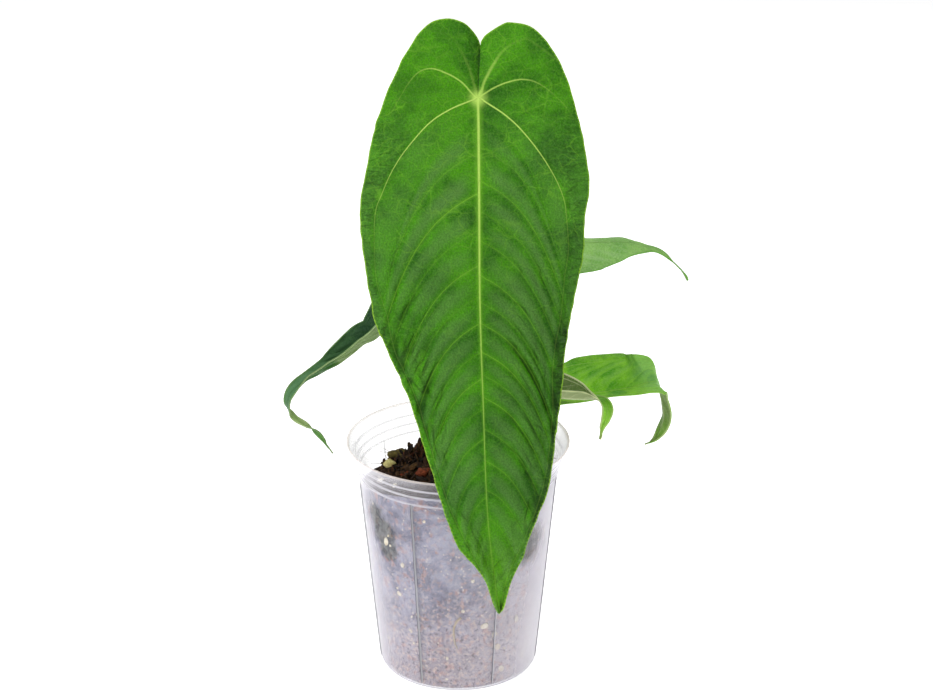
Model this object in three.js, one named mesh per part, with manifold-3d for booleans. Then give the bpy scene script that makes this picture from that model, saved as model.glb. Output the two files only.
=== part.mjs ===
// A potted anthurium in a clear nursery pot, in millimetres, +Z up.
// The origin is the centre of the underside of the pot, and the big leaf hangs towards -Y.
import * as THREE from 'three';
import { mergeVertices } from 'three/addons/utils/BufferGeometryUtils.js';
import Module from 'manifold-3d';

const wasm = await Module();
wasm.setup();

// Pot
const POT_HEIGHT = 130;
const RIM_RADIUS = 60;
const SHOULDER_RADIUS = 53.6;
const SHOULDER_HEIGHT = 111;
const BASE_RADIUS = 43.4;
const WALL = 0.8;
const FLOOR_THICKNESS = 1.0;
const RING_HEIGHTS = [113.6, 118.4, 123.0];
const RING_RELIEF = 0.5;
const RIB_COUNT = 7;
const POT_FACETS_PER_RIB = 7;
const RIB_START_DEGREES = -117;
const RIB_RELIEF = 0.45;
const RIB_WIDTH = 0.9;
const DRAIN_COUNT = 8;
const DRAIN_RADIUS = 3.2;
const DRAIN_RING_RADIUS = 31;

// Substrate: its edge is higher at the front, and a mound with a ridge on its left stands on it
const SOIL_EDGE_HEIGHT = 109;
const SOIL_RISE_TO_FRONT = 0.2;
const SOIL_RISE_TO_RIGHT = 0.08;
const SOIL_MOUND_HEIGHT = 16;
const SOIL_RIDGE = { x: -20, y: -3, height: 3.5, length: 13, width: 12 };
const SOIL_EDGE_ROUNDING = 1.5;
const SOIL_GAP = 0.3;
const SOIL_WALL_GAP = 0.45;
const SOIL_SEGMENTS = 42;
const SOIL_RINGS = 7;
const SOIL_LUMP_COUNT = 46;
const SOIL_LUMP_REACH = 43;
const SOIL_LUMP_PROUD = 0.4;
const SOIL_LUMP_TILT_DEGREES = 25;
const CHIP_HOLLOW_GROWTH = 0.8;

// Loose pieces that lie in hollows of the mix
const LOOSE_PIECES = [
  {
    name: 'bark_chip_red', size: [9, 8, 5], seed: 5,
    place: [-17.7, -29, 123.2], turn: 0.4, color: '#8a3f22',
  },
  {
    name: 'bark_chip_olive', size: [13, 8, 4.5], seed: 9,
    place: [-32, -1, 121.5], turn: 0.2, color: '#5b5526',
  },
  {
    name: 'pumice_pebble', size: [7, 6, 5], seed: 3,
    place: [-36.5, -9, 119], turn: 0, color: '#c9c27d',
  },
];

// Crown, with a ledge that the bracts stand on
const CROWN_RADIUS = 8;
const CROWN_LEDGE_RADIUS = 9.8;
const CROWN_SEAT_HEIGHT = 108;
const CROWN_LEDGE_HEIGHT = 119;
const CROWN_TOP_HEIGHT = 128;
const CROWN_SEGMENTS = 20;

// Bracts that stand around the crown
const BRACT_THICKNESS = 0.8;
const BRACT_TIP_HALF_WIDTH = 0.25;
const BRACTS = [
  { height: 21, halfWidth: 4.4, degrees: 152, lean: 2.2 },
  { height: 16, halfWidth: 3.8, degrees: 238, lean: 1.4 },
  { height: 12, halfWidth: 3.4, degrees: 20, lean: 1.8 },
];

// Blades and stalks
const BLADE_THICKNESS = 0.8;
const CROSS_STEPS = 12;
const FOLD_WIDTH = 4;
const SEAT_GAP = 0.3;
const GROOVE_HALF_WIDTH = 3;
const KNEE_LENGTH = 12;
const KNEE_SWELL = 0.42;
const SHEATH_LENGTH = 9;
const SHEATH_SWELL = 0.2;
const STALK_TAPER = 0.2;
const STALK_SIDES = 7;
const UPRIGHT_START = 5;

function vector([x, y, z]) {
  return new THREE.Vector3(x, y, z);
}

function radians(degrees) {
  return THREE.MathUtils.degToRad(degrees);
}

// Small seeded random number source, the same on every run
function seeded(seed) {
  let state = seed;
  return () => {
    state = (state * 1664525 + 1013904223) % 4294967296;
    return state / 4294967296;
  };
}

// A chip or pebble: a ball stretched to its size, with its faces knocked about
function lumpGeometry([width, depth, height], seed, detail) {
  const random = seeded(seed);
  const ball = welded(new THREE.IcosahedronGeometry(0.5, detail));
  const { position } = ball.attributes;
  for (let i = 0; i < position.count; i++) {
    const factor = 0.82 + 0.3 * random();
    position.setXYZ(i, position.getX(i) * factor * width, position.getY(i) * factor * depth,
      position.getZ(i) * factor * height);
  }
  return ball;
}

// Position-only copy with shared vertices, as a boolean operation needs it
function welded(geometry) {
  const copy = geometry.clone();
  for (const name of Object.keys(copy.attributes)) {
    if (name !== 'position') copy.deleteAttribute(name);
  }
  return mergeVertices(copy, 1e-4);
}

function toSolid(geometry) {
  const merged = welded(geometry);
  return new wasm.Manifold(new wasm.Mesh({
    numProp: 3,
    vertProperties: new Float32Array(merged.attributes.position.array),
    triVerts: new Uint32Array(merged.index.array),
  }));
}

function toGeometry(solid) {
  const mesh = solid.getMesh();
  const geometry = new THREE.BufferGeometry();
  geometry.setAttribute('position', new THREE.BufferAttribute(mesh.vertProperties, 3));
  geometry.setIndex(new THREE.BufferAttribute(mesh.triVerts, 1));
  return geometry;
}

// The largest shell of a solid, without loose scraps and with its sealed hollows filled
function outerShell(solid) {
  return solid.decompose().reduce((a, b) => (b.volume() > a.volume() ? b : a));
}

function indexedGeometry(positions, triangles) {
  const geometry = new THREE.BufferGeometry();
  geometry.setAttribute('position', new THREE.Float32BufferAttribute(positions, 3));
  geometry.setIndex(triangles);
  return geometry;
}

// A lathe about Z from a profile of [radius, height] pairs
function turned(profile, segments) {
  const points = profile.map(([radius, height]) => new THREE.Vector2(radius, height));
  return new THREE.LatheGeometry(points, segments).rotateX(Math.PI / 2);
}

// The line down the middle of a blade. It gives a frame at each distance from the attach point:
// place, direction, the way the upper face looks, and how the two halves fold and curl.
class Midrib {
  constructor({ points, facing, fold, curl, attach }) {
    const steps = 30 * (points.length - 1);
    const curve = (list) => new THREE.CatmullRomCurve3(list.map(vector), false, 'catmullrom', 0.5);
    const path = curve(points);
    const looks = curve(facing);
    const bends = curve(fold.map((value, i) => [value, curl[i], 0]));
    this.rows = [];
    let run = 0;
    for (let i = 0; i <= steps; i++) {
      const place = path.getPoint(i / steps);
      if (i > 0) run += place.distanceTo(this.rows[i - 1].place);
      const bend = bends.getPoint(i / steps);
      this.rows.push({
        run, place, direction: path.getTangent(i / steps), looks: looks.getPoint(i / steps),
        fold: bend.x, curl: bend.y,
      });
    }
    const start = this.rows[Math.round((steps * attach) / (points.length - 1))].run;
    for (const row of this.rows) row.run -= start;
    this.length = this.rows[steps].run;
  }

  frame(distance) {
    const { rows } = this;
    let i = 1;
    while (i < rows.length - 1 && rows[i].run < distance) i++;
    const [before, after] = [rows[i - 1], rows[i]];
    const t = THREE.MathUtils.clamp((distance - before.run) / (after.run - before.run), 0, 1);
    const direction = before.direction.clone().lerp(after.direction, t).normalize();
    const normal = before.looks.clone().lerp(after.looks, t);
    normal.addScaledVector(direction, -normal.dot(direction)).normalize();
    return {
      place: before.place.clone().lerp(after.place, t),
      normal,
      across: normal.clone().cross(direction),
      fold: THREE.MathUtils.lerp(before.fold, after.fold, t),
      curl: THREE.MathUtils.lerp(before.curl, after.curl, t),
    };
  }
}

// The point of a blade at a distance along its midrib and a width to one side of it, lifted from
// its smooth surface. The halves fold up at the midrib and curl towards their margins.
function bladePoint(leaf, along, width, lift) {
  const { place, normal, across, fold, curl } = leaf.midrib.frame(along);
  const side = Math.sign(width) || 1;
  const reach = Math.abs(width);
  let out = 0;
  let rise = 0;
  let angle = 0;
  for (let i = 0; i < CROSS_STEPS; i++) {
    const u = ((i + 0.5) / CROSS_STEPS) * reach;
    angle = radians(fold * Math.min(u / FOLD_WIDTH, 1) + curl * (u / leaf.curlWidth) ** 2);
    out += (Math.cos(angle) * reach) / CROSS_STEPS;
    rise += (Math.sin(angle) * reach) / CROSS_STEPS;
  }
  out -= Math.sin(angle) * lift;
  rise += Math.cos(angle) * lift;
  return place.addScaledVector(across, side * out).addScaledVector(normal, rise);
}

// One side of a blade's outline as [along, width] points from the notch to the tip. They are evenly
// spaced at a bunching of 1, and closer together towards the tip above that.
function marginPoints(outline, count, bunching) {
  const curve = new THREE.CatmullRomCurve3(
    outline.map(([along, width]) => new THREE.Vector3(along, width, 0)), false, 'catmullrom', 0.5);
  curve.arcLengthDivisions = 400;
  return Array.from({ length: count + 1 }, (_, k) => {
    const point = curve.getPointAt(1 - (1 - k / count) ** bunching);
    return [point.x, Math.max(point.y, 0)];
  });
}

// How far a place lies between one side vein and the next, as a count of veins
function veinPhase(roots, root) {
  let i = 0;
  while (i < roots.length && roots[i] <= root) i++;
  const before = i > 0 ? roots[i - 1] : 0;
  const after = i < roots.length ? roots[i] : before + 24;
  return i + (root - before) / (after - before);
}

// Relief of the blade: pillows between the side veins, the sunk midrib and the waved margin
function relief(leaf, side, root, fan, ray, across, width) {
  const phase = veinPhase(side.veins, root) + 2 * fan;
  const pillow = Math.sin(Math.PI * phase) ** 2 * Math.sin(Math.PI * across) * leaf.pillow;
  const groove = -leaf.groove * Math.exp(-((width / GROOVE_HALF_WIDTH) ** 2));
  const wave = Math.sin(2 * Math.PI * (ray * leaf.waves + side.waveShift)) * leaf.wave * across ** 3;
  return pillow + groove + wave + side.dip(fan, across);
}

// A blade: rays run from the midrib, or from the attach point for the lobes, out to the margin.
// The top sheet is copied through the blade's thickness and closed along its edge.
function bladeGeometry(leaf) {
  const { rays, steps, sweep } = leaf;
  const half = (sign, outline, veins, waveShift, dip) => (
    { sign, margin: marginPoints(outline, rays, leaf.bunching), veins, waveShift, dip });
  const sides = [
    half(-1, leaf.left, leaf.leftVeins, 0, leaf.leftDip),
    half(1, leaf.right, leaf.rightVeins, 0.4, () => 0),
  ];
  const roots = [];
  for (let k = 0; k <= rays; k++) {
    const mean = sides.reduce((sum, { margin }) => sum + margin[k][0] - sweep * margin[k][1], 0) / 2;
    roots.push(Math.max(mean, k > 0 ? roots[k - 1] : 0, 0));
  }
  roots[rays] = leaf.midrib.length;
  const fanEnd = roots.findIndex((root) => root > 0) - 1;

  const places = [];
  const add = (point) => places.push(point) - 1;
  const spine = [];
  for (let k = 0; k <= rays; k++) {
    const isNew = k === 0 || roots[k] > roots[k - 1];
    spine.push(isNew ? add(bladePoint(leaf, roots[k], 0, -leaf.groove)) : spine[k - 1]);
  }
  const top = [];
  const rims = [];
  for (const side of sides) {
    const rows = [];
    for (let k = 0; k < rays; k++) {
      const [along, width] = side.margin[k];
      const fan = k < fanEnd ? 1 - k / fanEnd : 0;
      const row = [spine[k]];
      for (let j = 1; j <= steps; j++) {
        const v = j / steps;
        const lift = relief(leaf, side, roots[k], fan, k / rays, v, width * v);
        const onRay = roots[k] + (along - roots[k]) * v;
        row.push(add(bladePoint(leaf, onRay, side.sign * Math.max(width * v, 0.01), lift)));
      }
      rows.push(row);
    }
    const face = (a, b, c) => {
      if (a !== b && b !== c && c !== a) top.push(side.sign > 0 ? [a, c, b] : [a, b, c]);
    };
    for (let k = 0; k < rays; k++) {
      for (let j = 0; j < steps; j++) {
        const next = k + 1 < rays ? rows[k + 1] : Array(steps + 1).fill(spine[rays]);
        face(rows[k][j], rows[k][j + 1], next[j + 1]);
        face(rows[k][j], next[j + 1], next[j]);
      }
    }
    rims.push([...rows[0], ...rows.slice(1).map((row) => row[steps]), spine[rays]]);
  }

  const normals = places.map(() => new THREE.Vector3());
  for (const [a, b, c] of top) {
    const edge = places[b].clone().sub(places[a]);
    const normal = edge.cross(places[c].clone().sub(places[a]));
    for (const corner of [a, b, c]) normals[corner].add(normal);
  }
  const count = places.length;
  const below = places.map((place, i) => (
    place.clone().addScaledVector(normals[i].normalize(), -BLADE_THICKNESS)));
  const triangles = [...top, ...top.map(([a, b, c]) => [a + count, c + count, b + count])];
  rims.forEach((rim, i) => {
    for (let n = 0; n + 1 < rim.length; n++) {
      const [a, b] = i === 0 ? [rim[n + 1], rim[n]] : [rim[n], rim[n + 1]];
      triangles.push([a, b, b + count], [a, b + count, a + count]);
    }
  });
  const positions = [...places, ...below].flatMap((place) => place.toArray());
  return indexedGeometry(positions, triangles.flat());
}

// A stalk with round sections: radii change evenly between the given values
function stalkGeometry(points, radii, segments, sides) {
  const curve = new THREE.CatmullRomCurve3(points.map(vector), false, 'catmullrom', 0.5);
  const positions = [];
  const triangles = [];
  let normal = new THREE.Vector3(1, 0, 0);
  for (let i = 0; i <= segments; i++) {
    const t = i / segments;
    const centre = curve.getPointAt(t);
    const direction = curve.getTangentAt(t);
    normal = normal.clone().addScaledVector(direction, -normal.dot(direction)).normalize();
    const other = direction.clone().cross(normal);
    const at = t * (radii.length - 1);
    const n = Math.min(Math.floor(at), radii.length - 2);
    const radius = THREE.MathUtils.lerp(radii[n], radii[n + 1], at - n);
    for (let k = 0; k < sides; k++) {
      const angle = (2 * Math.PI * k) / sides;
      const point = centre.clone().addScaledVector(normal, radius * Math.cos(angle));
      positions.push(...point.addScaledVector(other, radius * Math.sin(angle)).toArray());
    }
    if (i === 0 || i === segments) positions.push(...centre.toArray());
  }
  const start = (i) => i * sides + (i > 0 ? 1 : 0);
  for (let k = 0; k < sides; k++) {
    const next = (k + 1) % sides;
    triangles.push(sides, next, k);
    for (let i = 0; i < segments; i++) {
      const [a, b] = [start(i) + k, start(i) + next];
      const [c, d] = [start(i + 1) + k, start(i + 1) + next];
      triangles.push(a, b, d, a, d, c);
    }
    triangles.push(start(segments) + k, start(segments) + next, start(segments) + sides);
  }
  return indexedGeometry(positions, triangles);
}

// Half outlines of the big blade as [along, width], from the notch between the lobes to the tip
const FRONT_LEFT = [
  [-28, 1.6], [-36, 4.5], [-39.5, 14], [-36.5, 23.5], [-23.7, 34.1], [0.2, 45.6], [25, 52.7],
  [60, 57.8], [100, 52.8], [117, 47.8], [146, 36], [164, 31], [200, 21.6], [219, 16.8],
  [232.6, 9.8], [249.3, 3.3], [260.4, 0],
];
const FRONT_RIGHT = [
  [-27.5, 2.4], [-31, 5.2], [-35.6, 13.2], [-36.4, 18], [-32.8, 28.6], [-20.6, 37.8], [-3.2, 44.9],
  [19.7, 50.6], [43, 53.2], [60.5, 51.1], [78, 50.1], [113.5, 43.2], [148.6, 37.7], [184.3, 32.5],
  [203, 26.9], [222.4, 18.2], [241.5, 7.2], [255, 2.1], [260.4, 0],
];

// Half outline of a narrow side blade: lobes at the attach point, then widths at distances from the tip
function sideOutline(length, lobe, width, fromTip) {
  const base = [
    [-lobe * 0.7, 0.9], [-lobe, width * 0.28], [-lobe * 0.72, width * 0.68],
    [0, width * 0.95], [length * 0.16, width],
  ];
  return [...base, ...fromTip.map(([distance, half]) => [length - distance, half]), [length, 0]];
}

function sideLeaf(options) {
  const midrib = new Midrib(options);
  const { lobe, width, wave, veinCount, fromTip, rightFromTip = fromTip } = options;
  const gap = midrib.length / (veinCount + 1);
  const veins = Array.from({ length: veinCount }, (_, i) => gap * (i + 0.6));
  return {
    midrib,
    left: sideOutline(midrib.length, lobe, width, fromTip),
    right: sideOutline(midrib.length, lobe, width, rightFromTip),
    leftVeins: veins,
    rightVeins: veins,
    leftDip: () => 0,
    curlWidth: width,
    sweep: 0.7,
    rays: 26,
    steps: 4,
    bunching: 1.3,
    pillow: 0.5,
    groove: 0.3,
    wave,
    waves: 5,
  };
}

const LEAVES = {
  front: {
    midrib: new Midrib({
      points: [
        [8, -8, 366], [9.9, -28, 321.7], [10.3, -50, 281.6], [10.6, -70, 230.4], [12.1, -82, 185.4],
        [14.6, -90, 125], [20.3, -92, 73.4],
      ],
      facing: [
        [0, -1, 0.45], [0, -1, 0.5], [0, -1, 0.42], [0, -1, 0.3], [0, -1, 0.2], [0, -1, 0.1], [0, -1, 0],
      ],
      fold: [6, 6, 6, 6, 6, 6, 6],
      curl: [-20, -20, -22, -28, -30, -24, -10],
      attach: 1,
    }),
    left: FRONT_LEFT,
    right: FRONT_RIGHT,
    leftVeins: [28, 48, 85, 112, 139, 169, 198, 225],
    rightVeins: [22, 43, 67, 89, 112, 130, 150, 178, 207, 232],
    leftDip: (fan, across) => (fan > 0.86 ? -5 * across * (fan - 0.86) / 0.14 : 0),
    curlWidth: 60,
    sweep: 0.72,
    rays: 42,
    steps: 7,
    bunching: 1,
    pillow: 1.4,
    groove: 0.7,
    wave: 0.9,
    waves: 6,
  },
  left: sideLeaf({
    points: [
      [8, 20, 229], [-10, 19, 223], [-26, 20.5, 203], [-42.5, 22, 182], [-51.5, 22, 176.5],
      [-61.7, 20, 168.5], [-69, 18, 165.5], [-75.7, 16, 164.5], [-81, 14, 162.6], [-87.8, 12, 156.4],
      [-91.5, 12, 149.5], [-92.5, 12, 143.4], [-89.6, 13, 137.1], [-84.3, 14, 132.8], [-77.4, 13, 127.6], [-73.6, 12, 123.3],
      [-68.8, 11, 116],
    ],
    facing: [
      [0, -0.2, 1], [0, -0.2, 1], [-0.3, -0.3, 1], [-0.3, -0.34, 0.94], [-0.3, -0.34, 0.94],
      [-0.3, -0.41, 0.91], [-0.35, -0.57, 0.82], [-0.4, -0.94, 0.34], [-0.45, -0.99, 0.1], [-0.5, -0.9, 0],
      [-0.6, -0.8, 0],
      [-0.9, -0.5, -0.3], [-0.6, 0.5, -0.7], [-0.5, 0.6, -0.6], [-0.6, -0.6, -0.3], [-0.5, -0.9, -0.2],
      [-0.5, -0.9, -0.2],
    ],
    fold: [8, 20, 48, 58, 58, 70, 73, 66, 66, 60, 52, 30, 20, 20, 25, 25, 20],
    curl: [-10, -10, -8, 0, 0, 0, 0, 0, 0, 0, 0, 0, 0, 0, 0, 0, 0],
    attach: 1, lobe: 16, width: 20, wave: 0.4, veinCount: 6,
    fromTip: [
      [122, 16.8], [103, 12.2], [92, 10.2], [78, 7.4], [69, 5.2], [60, 4.1], [52, 3.8], [45, 3.2],
      [36, 2.7], [29, 1.8], [22, 1.6], [14.5, 1.9], [7, 1],
    ],
    rightFromTip: [
      [122, 17.4], [103, 14], [92, 12], [78, 9.4], [69, 6.8], [60, 4.9], [52, 3.7], [45, 3],
      [36, 2.7], [29, 1.8], [22, 1.6], [14.5, 1.9], [7, 1],
    ],
  }),
  right_high: sideLeaf({
    points: [
      [9, 33, 233], [27, 33, 231], [47, 32, 230.5], [69.3, 32, 230.2], [77.7, 33, 230.2], [85, 34, 229.8],
      [91.8, 35, 229.2], [99.5, 36, 227.2], [106.7, 36, 225.4], [113.4, 36, 221], [121, 36, 213.6],
      [125, 36, 207.2],
    ],
    facing: [
      [0, -0.2, 1], [0, -0.25, 1], [0, -0.38, 0.92], [0, -0.41, 0.91], [0, -0.41, 0.91], [0, -0.41, 0.91],
      [0.1, -0.41, 0.9], [0.2, -0.4, 0.9], [0.3, -0.3, 0.9], [0.5, -0.2, 0.8], [0.6, -0.1, 0.7],
      [0.7, 0, 0.6],
    ],
    fold: [-5, -12, -28, -35, -36, -37, -38, -38, -38, -35, -30, -30],
    curl: [-10, -10, -10, -8, -6, -5, 0, 0, 0, 0, 0, 0],
    attach: 1, lobe: 16, width: 20, wave: 0.6, veinCount: 5,
    fromTip: [
      [80, 19.5], [65, 17.2], [56, 15], [49, 12.4], [42, 9.2], [33.8, 5.2], [26, 2.6], [18, 1.5],
      [12, 1.1], [6, 0.8],
    ],
  }),
  right_back: sideLeaf({
    points: [
      [12, 20, 158], [27, 18, 154], [43, 16.5, 151.5], [57.9, 16, 151.9], [71.1, 16, 153.1], [87, 16, 155.6],
      [95.5, 16, 157.2], [101.5, 16, 158.8], [106.4, 16, 157.6], [109.2, 16, 153], [110.9, 16, 146.6],
      [112.4, 16, 139.5], [112.6, 16, 133.6], [110.8, 16, 127.1], [107.4, 16, 121.5], [102.5, 16, 118.7],
    ],
    facing: [
      [0, -0.1, 1], [0, -0.15, 1], [0, -0.2, 0.98], [0, -0.2, 0.98], [0, -0.2, 0.98], [0, -0.2, 0.98],
      [0.1, -0.2, 1], [0.4, -0.15, 0.9], [0.7, 0, 0.6], [0.95, 0.2, 0.3], [0.95, 0.35, 0.1],
      [0.95, 0.4, 0], [0.95, 0.4, 0], [0.9, 0.4, -0.2], [0.8, 0.4, -0.5], [0.6, 0.4, -0.8],
    ],
    fold: [4, 10, 14, 15, 15, 15, 15, 18, 24, 30, 34, 34, 30, 26, 24, 20],
    curl: [-8, -8, -6, -4, -4, -4, -6, -8, -6, 0, 0, 0, 0, 0, 0, 0],
    attach: 1, lobe: 16, width: 22, wave: 0.6, veinCount: 5,
    fromTip: [
      [93, 17.5], [80, 17], [71, 17], [62, 17], [54, 17.5], [47, 17], [40, 11], [32, 7.5], [24, 6],
      [16, 4.2], [8, 2.2],
    ],
    rightFromTip: [
      [93, 23], [80, 24], [71, 24], [62, 23], [54, 20.5], [47, 15], [40, 9.5], [32, 7], [24, 6],
      [16, 4.2], [8, 2.2],
    ],
  }),
  right_front: sideLeaf({
    points: [
      [3, -12, 170], [17, -11, 166.5], [31, -9, 161.5], [45.9, -8, 157.6], [55.4, -8, 157], [66, -8, 156.4],
      [72.8, -9, 156.5], [76.4, -10, 155.8], [78.5, -11, 153.6], [79, -12, 150.6], [78.1, -12, 145.4],
      [76.4, -12, 140.3], [75.2, -12, 134.1],
    ],
    facing: [
      [0, 0.1, 1], [0, 0.3, 1], [0, 0.55, 0.8], [0, 0.7, 0.7], [0, 0.7, 0.7], [0, 0.65, 0.7],
      [0.3, 0.2, 0.9], [0.6, -0.3, 0.8], [0.7, -0.7, 0.4], [0.5, -0.9, 0.2], [0.2, -1, 0],
      [0.1, -1, 0], [0.2, -1, 0],
    ],
    fold: [6, 14, 34, 45, 45, 42, 34, 26, 22, 20, 20, 22, 20],
    curl: [-6, -6, -6, 0, 0, 0, 0, 0, 0, 0, 0, 0, 0],
    attach: 1, lobe: 13, width: 16, wave: 0.4, veinCount: 5,
    fromTip: [
      [75, 19], [62, 18.5], [52, 16.8], [42, 13.4], [34, 9.4], [27, 5.8], [22, 3.8], [17, 3.2],
      [12, 2.5], [6, 1.2],
    ],
    rightFromTip: [
      [75, 16], [62, 14.5], [52, 12.6], [42, 9.8], [34, 7], [27, 4.8], [22, 3.6], [17, 3.2],
      [12, 2.5], [6, 1.2],
    ],
  }),
};

// The lower ends of the stalks stand side by side on the crown
const STALK_FEET = {
  front: [-0.8, -4.6, CROWN_TOP_HEIGHT],
  left: [-4.8, 0.6, CROWN_TOP_HEIGHT],
  right_high: [-0.4, 4.8, CROWN_TOP_HEIGHT],
  right_back: [4.6, 2, CROWN_TOP_HEIGHT],
  right_front: [4.2, -2.9, CROWN_TOP_HEIGHT],
};
const STALK_MIDDLES = {
  front: [[-0.5, -7, 165], [3, -9, 225], [8, -14, 285]],
  left: [[-6.5, 4, 160], [-8, 12, 195]],
  right_high: [[3, 9, 165], [16, 23, 203]],
  right_back: [[9, 7, 137], [20, 14, 144]],
  right_front: [[7, -7, 143], [12, -11, 154]],
};
const STALK_RADIUS = { front: 2.0, left: 1.5, right_high: 1.6, right_back: 1.5, right_front: 1.4 };

// A stalk ends a hair below the underside of its blade, with the swollen knee at its top
function petioleGeometry(name) {
  const leaf = LEAVES[name];
  const radius = STALK_RADIUS[name];
  const { place, normal } = leaf.midrib.frame(0);
  const depth = leaf.groove + BLADE_THICKNESS + SEAT_GAP;
  const topEnd = place.clone().addScaledVector(normal, -depth);
  const knee = topEnd.clone().addScaledVector(normal, -KNEE_LENGTH * 0.6);
  const [footX, footY, seat] = STALK_FEET[name];
  const start = [[footX, footY, seat + SEAT_GAP], [footX, footY, seat + UPRIGHT_START]];
  const points = [...start, ...STALK_MIDDLES[name], knee.toArray(), topEnd.toArray()];
  const length = new THREE.CatmullRomCurve3(points.map(vector)).getLength();
  const kneeShare = KNEE_LENGTH / length;
  const radii = Array.from({ length: 41 }, (_, i) => {
    const t = i / 40;
    const swell = Math.exp(-(((t - 1 + kneeShare / 2) / (kneeShare / 2)) ** 2));
    const sheath = Math.exp(-(((t * length) / SHEATH_LENGTH) ** 2));
    return radius * (1 - STALK_TAPER * (t - 0.25) + KNEE_SWELL * swell + SHEATH_SWELL * sheath);
  });
  return stalkGeometry(points, radii, Math.round(length / 11) + 6, STALK_SIDES);
}

// Pot: a tapered wall with a flared rim, three raised rings and thin upright ribs
function wallRadius(height) {
  if (height < SHOULDER_HEIGHT) {
    return THREE.MathUtils.lerp(BASE_RADIUS, SHOULDER_RADIUS, height / SHOULDER_HEIGHT);
  }
  const t = (height - SHOULDER_HEIGHT) / (POT_HEIGHT - SHOULDER_HEIGHT);
  return SHOULDER_RADIUS + (RIM_RADIUS - SHOULDER_RADIUS) * (0.35 * t + 0.65 * t ** 2.6);
}

function potGeometry() {
  const outside = [[0, 0], [BASE_RADIUS - 1.6, 0], [wallRadius(1.6), 1.6]];
  for (const height of RING_HEIGHTS) {
    outside.push([wallRadius(height - 1), height - 1]);
    outside.push([wallRadius(height) + RING_RELIEF, height]);
    outside.push([wallRadius(height + 1), height + 1]);
  }
  for (const height of [126, 128.3]) outside.push([wallRadius(height), height]);
  outside.push([RIM_RADIUS, POT_HEIGHT - 0.6], [RIM_RADIUS - 0.3, POT_HEIGHT]);
  const inside = [[RIM_RADIUS - WALL, POT_HEIGHT]];
  for (const height of [127.5, 124, 119, SHOULDER_HEIGHT]) {
    inside.push([wallRadius(height) - WALL, height]);
  }
  inside.push([wallRadius(FLOOR_THICKNESS) - WALL, FLOOR_THICKNESS], [0, FLOOR_THICKNESS]);
  let pot = toSolid(turned([...outside, ...inside], RIB_COUNT * POT_FACETS_PER_RIB));
  for (let i = 0; i < RIB_COUNT; i++) {
    const foot = 3;
    const head = RING_HEIGHTS[0];
    const section = new THREE.Shape([
      new THREE.Vector2(wallRadius(foot) - 0.3, foot),
      new THREE.Vector2(wallRadius(foot) + RIB_RELIEF, foot + 1),
      new THREE.Vector2(wallRadius(head) + RIB_RELIEF, head - 0.4),
      new THREE.Vector2(wallRadius(head) - 0.3, head),
    ]);
    const rib = new THREE.ExtrudeGeometry(section, { depth: RIB_WIDTH, bevelEnabled: false });
    rib.translate(0, 0, -RIB_WIDTH / 2).rotateX(Math.PI / 2);
    rib.rotateZ(radians(RIB_START_DEGREES + (360 * i) / RIB_COUNT));
    pot = pot.add(toSolid(rib));
  }
  for (let i = 0; i < DRAIN_COUNT; i++) {
    const angle = (2 * Math.PI * (i + 0.5)) / DRAIN_COUNT;
    const drain = new THREE.CylinderGeometry(DRAIN_RADIUS, DRAIN_RADIUS, 4 * FLOOR_THICKNESS, 12);
    drain.rotateX(Math.PI / 2);
    drain.translate(DRAIN_RING_RADIUS * Math.cos(angle), DRAIN_RING_RADIUS * Math.sin(angle), 0);
    pot = pot.subtract(toSolid(drain));
  }
  return toGeometry(pot);
}

// Height of the top of the mix before its lumps: the sloping bed and the mound on it
function soilHeight(x, y) {
  const share = Math.min(Math.hypot(x, y) / wallRadius(SOIL_EDGE_HEIGHT), 1);
  const bed = SOIL_EDGE_HEIGHT - SOIL_RISE_TO_FRONT * y + SOIL_RISE_TO_RIGHT * x;
  const fromRidge = Math.hypot((x - SOIL_RIDGE.x) / SOIL_RIDGE.length, (y - SOIL_RIDGE.y) / SOIL_RIDGE.width);
  const ridge = SOIL_RIDGE.height * Math.exp(-(fromRidge ** 2)) * (1 - share ** 4);
  return bed + SOIL_MOUND_HEIGHT * Math.cos((Math.PI / 2) * share) + ridge;
}

// Lumps of bark and moss, fused to the top of the mix with their lower halves sunk in it
function soilLumps() {
  const random = seeded(11);
  return Array.from({ length: SOIL_LUMP_COUNT }, () => {
    const radius = SOIL_LUMP_REACH * Math.sqrt(random());
    const angle = 2 * Math.PI * random();
    const [x, y] = [radius * Math.cos(angle), radius * Math.sin(angle)];
    const size = [5 + 6 * random(), 3 + 3 * random(), 3.5 + 2.5 * random()];
    const lump = lumpGeometry(size, Math.floor(1e6 * random()), 0);
    const tilt = SOIL_LUMP_TILT_DEGREES * (2 * random() - 1);
    lump.rotateY(radians(tilt)).rotateZ(Math.PI * random());
    return lump.translate(x, y, soilHeight(x, y) + SOIL_LUMP_PROUD);
  });
}

// Radius of the mix's edge in a direction, where its top meets the wall of the pot
function soilEdgeRadius(cos, sin) {
  let radius = wallRadius(SOIL_EDGE_HEIGHT);
  for (let i = 0; i < 8; i++) radius = wallRadius(soilHeight(radius * cos, radius * sin));
  return radius - WALL - SOIL_WALL_GAP;
}

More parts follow.
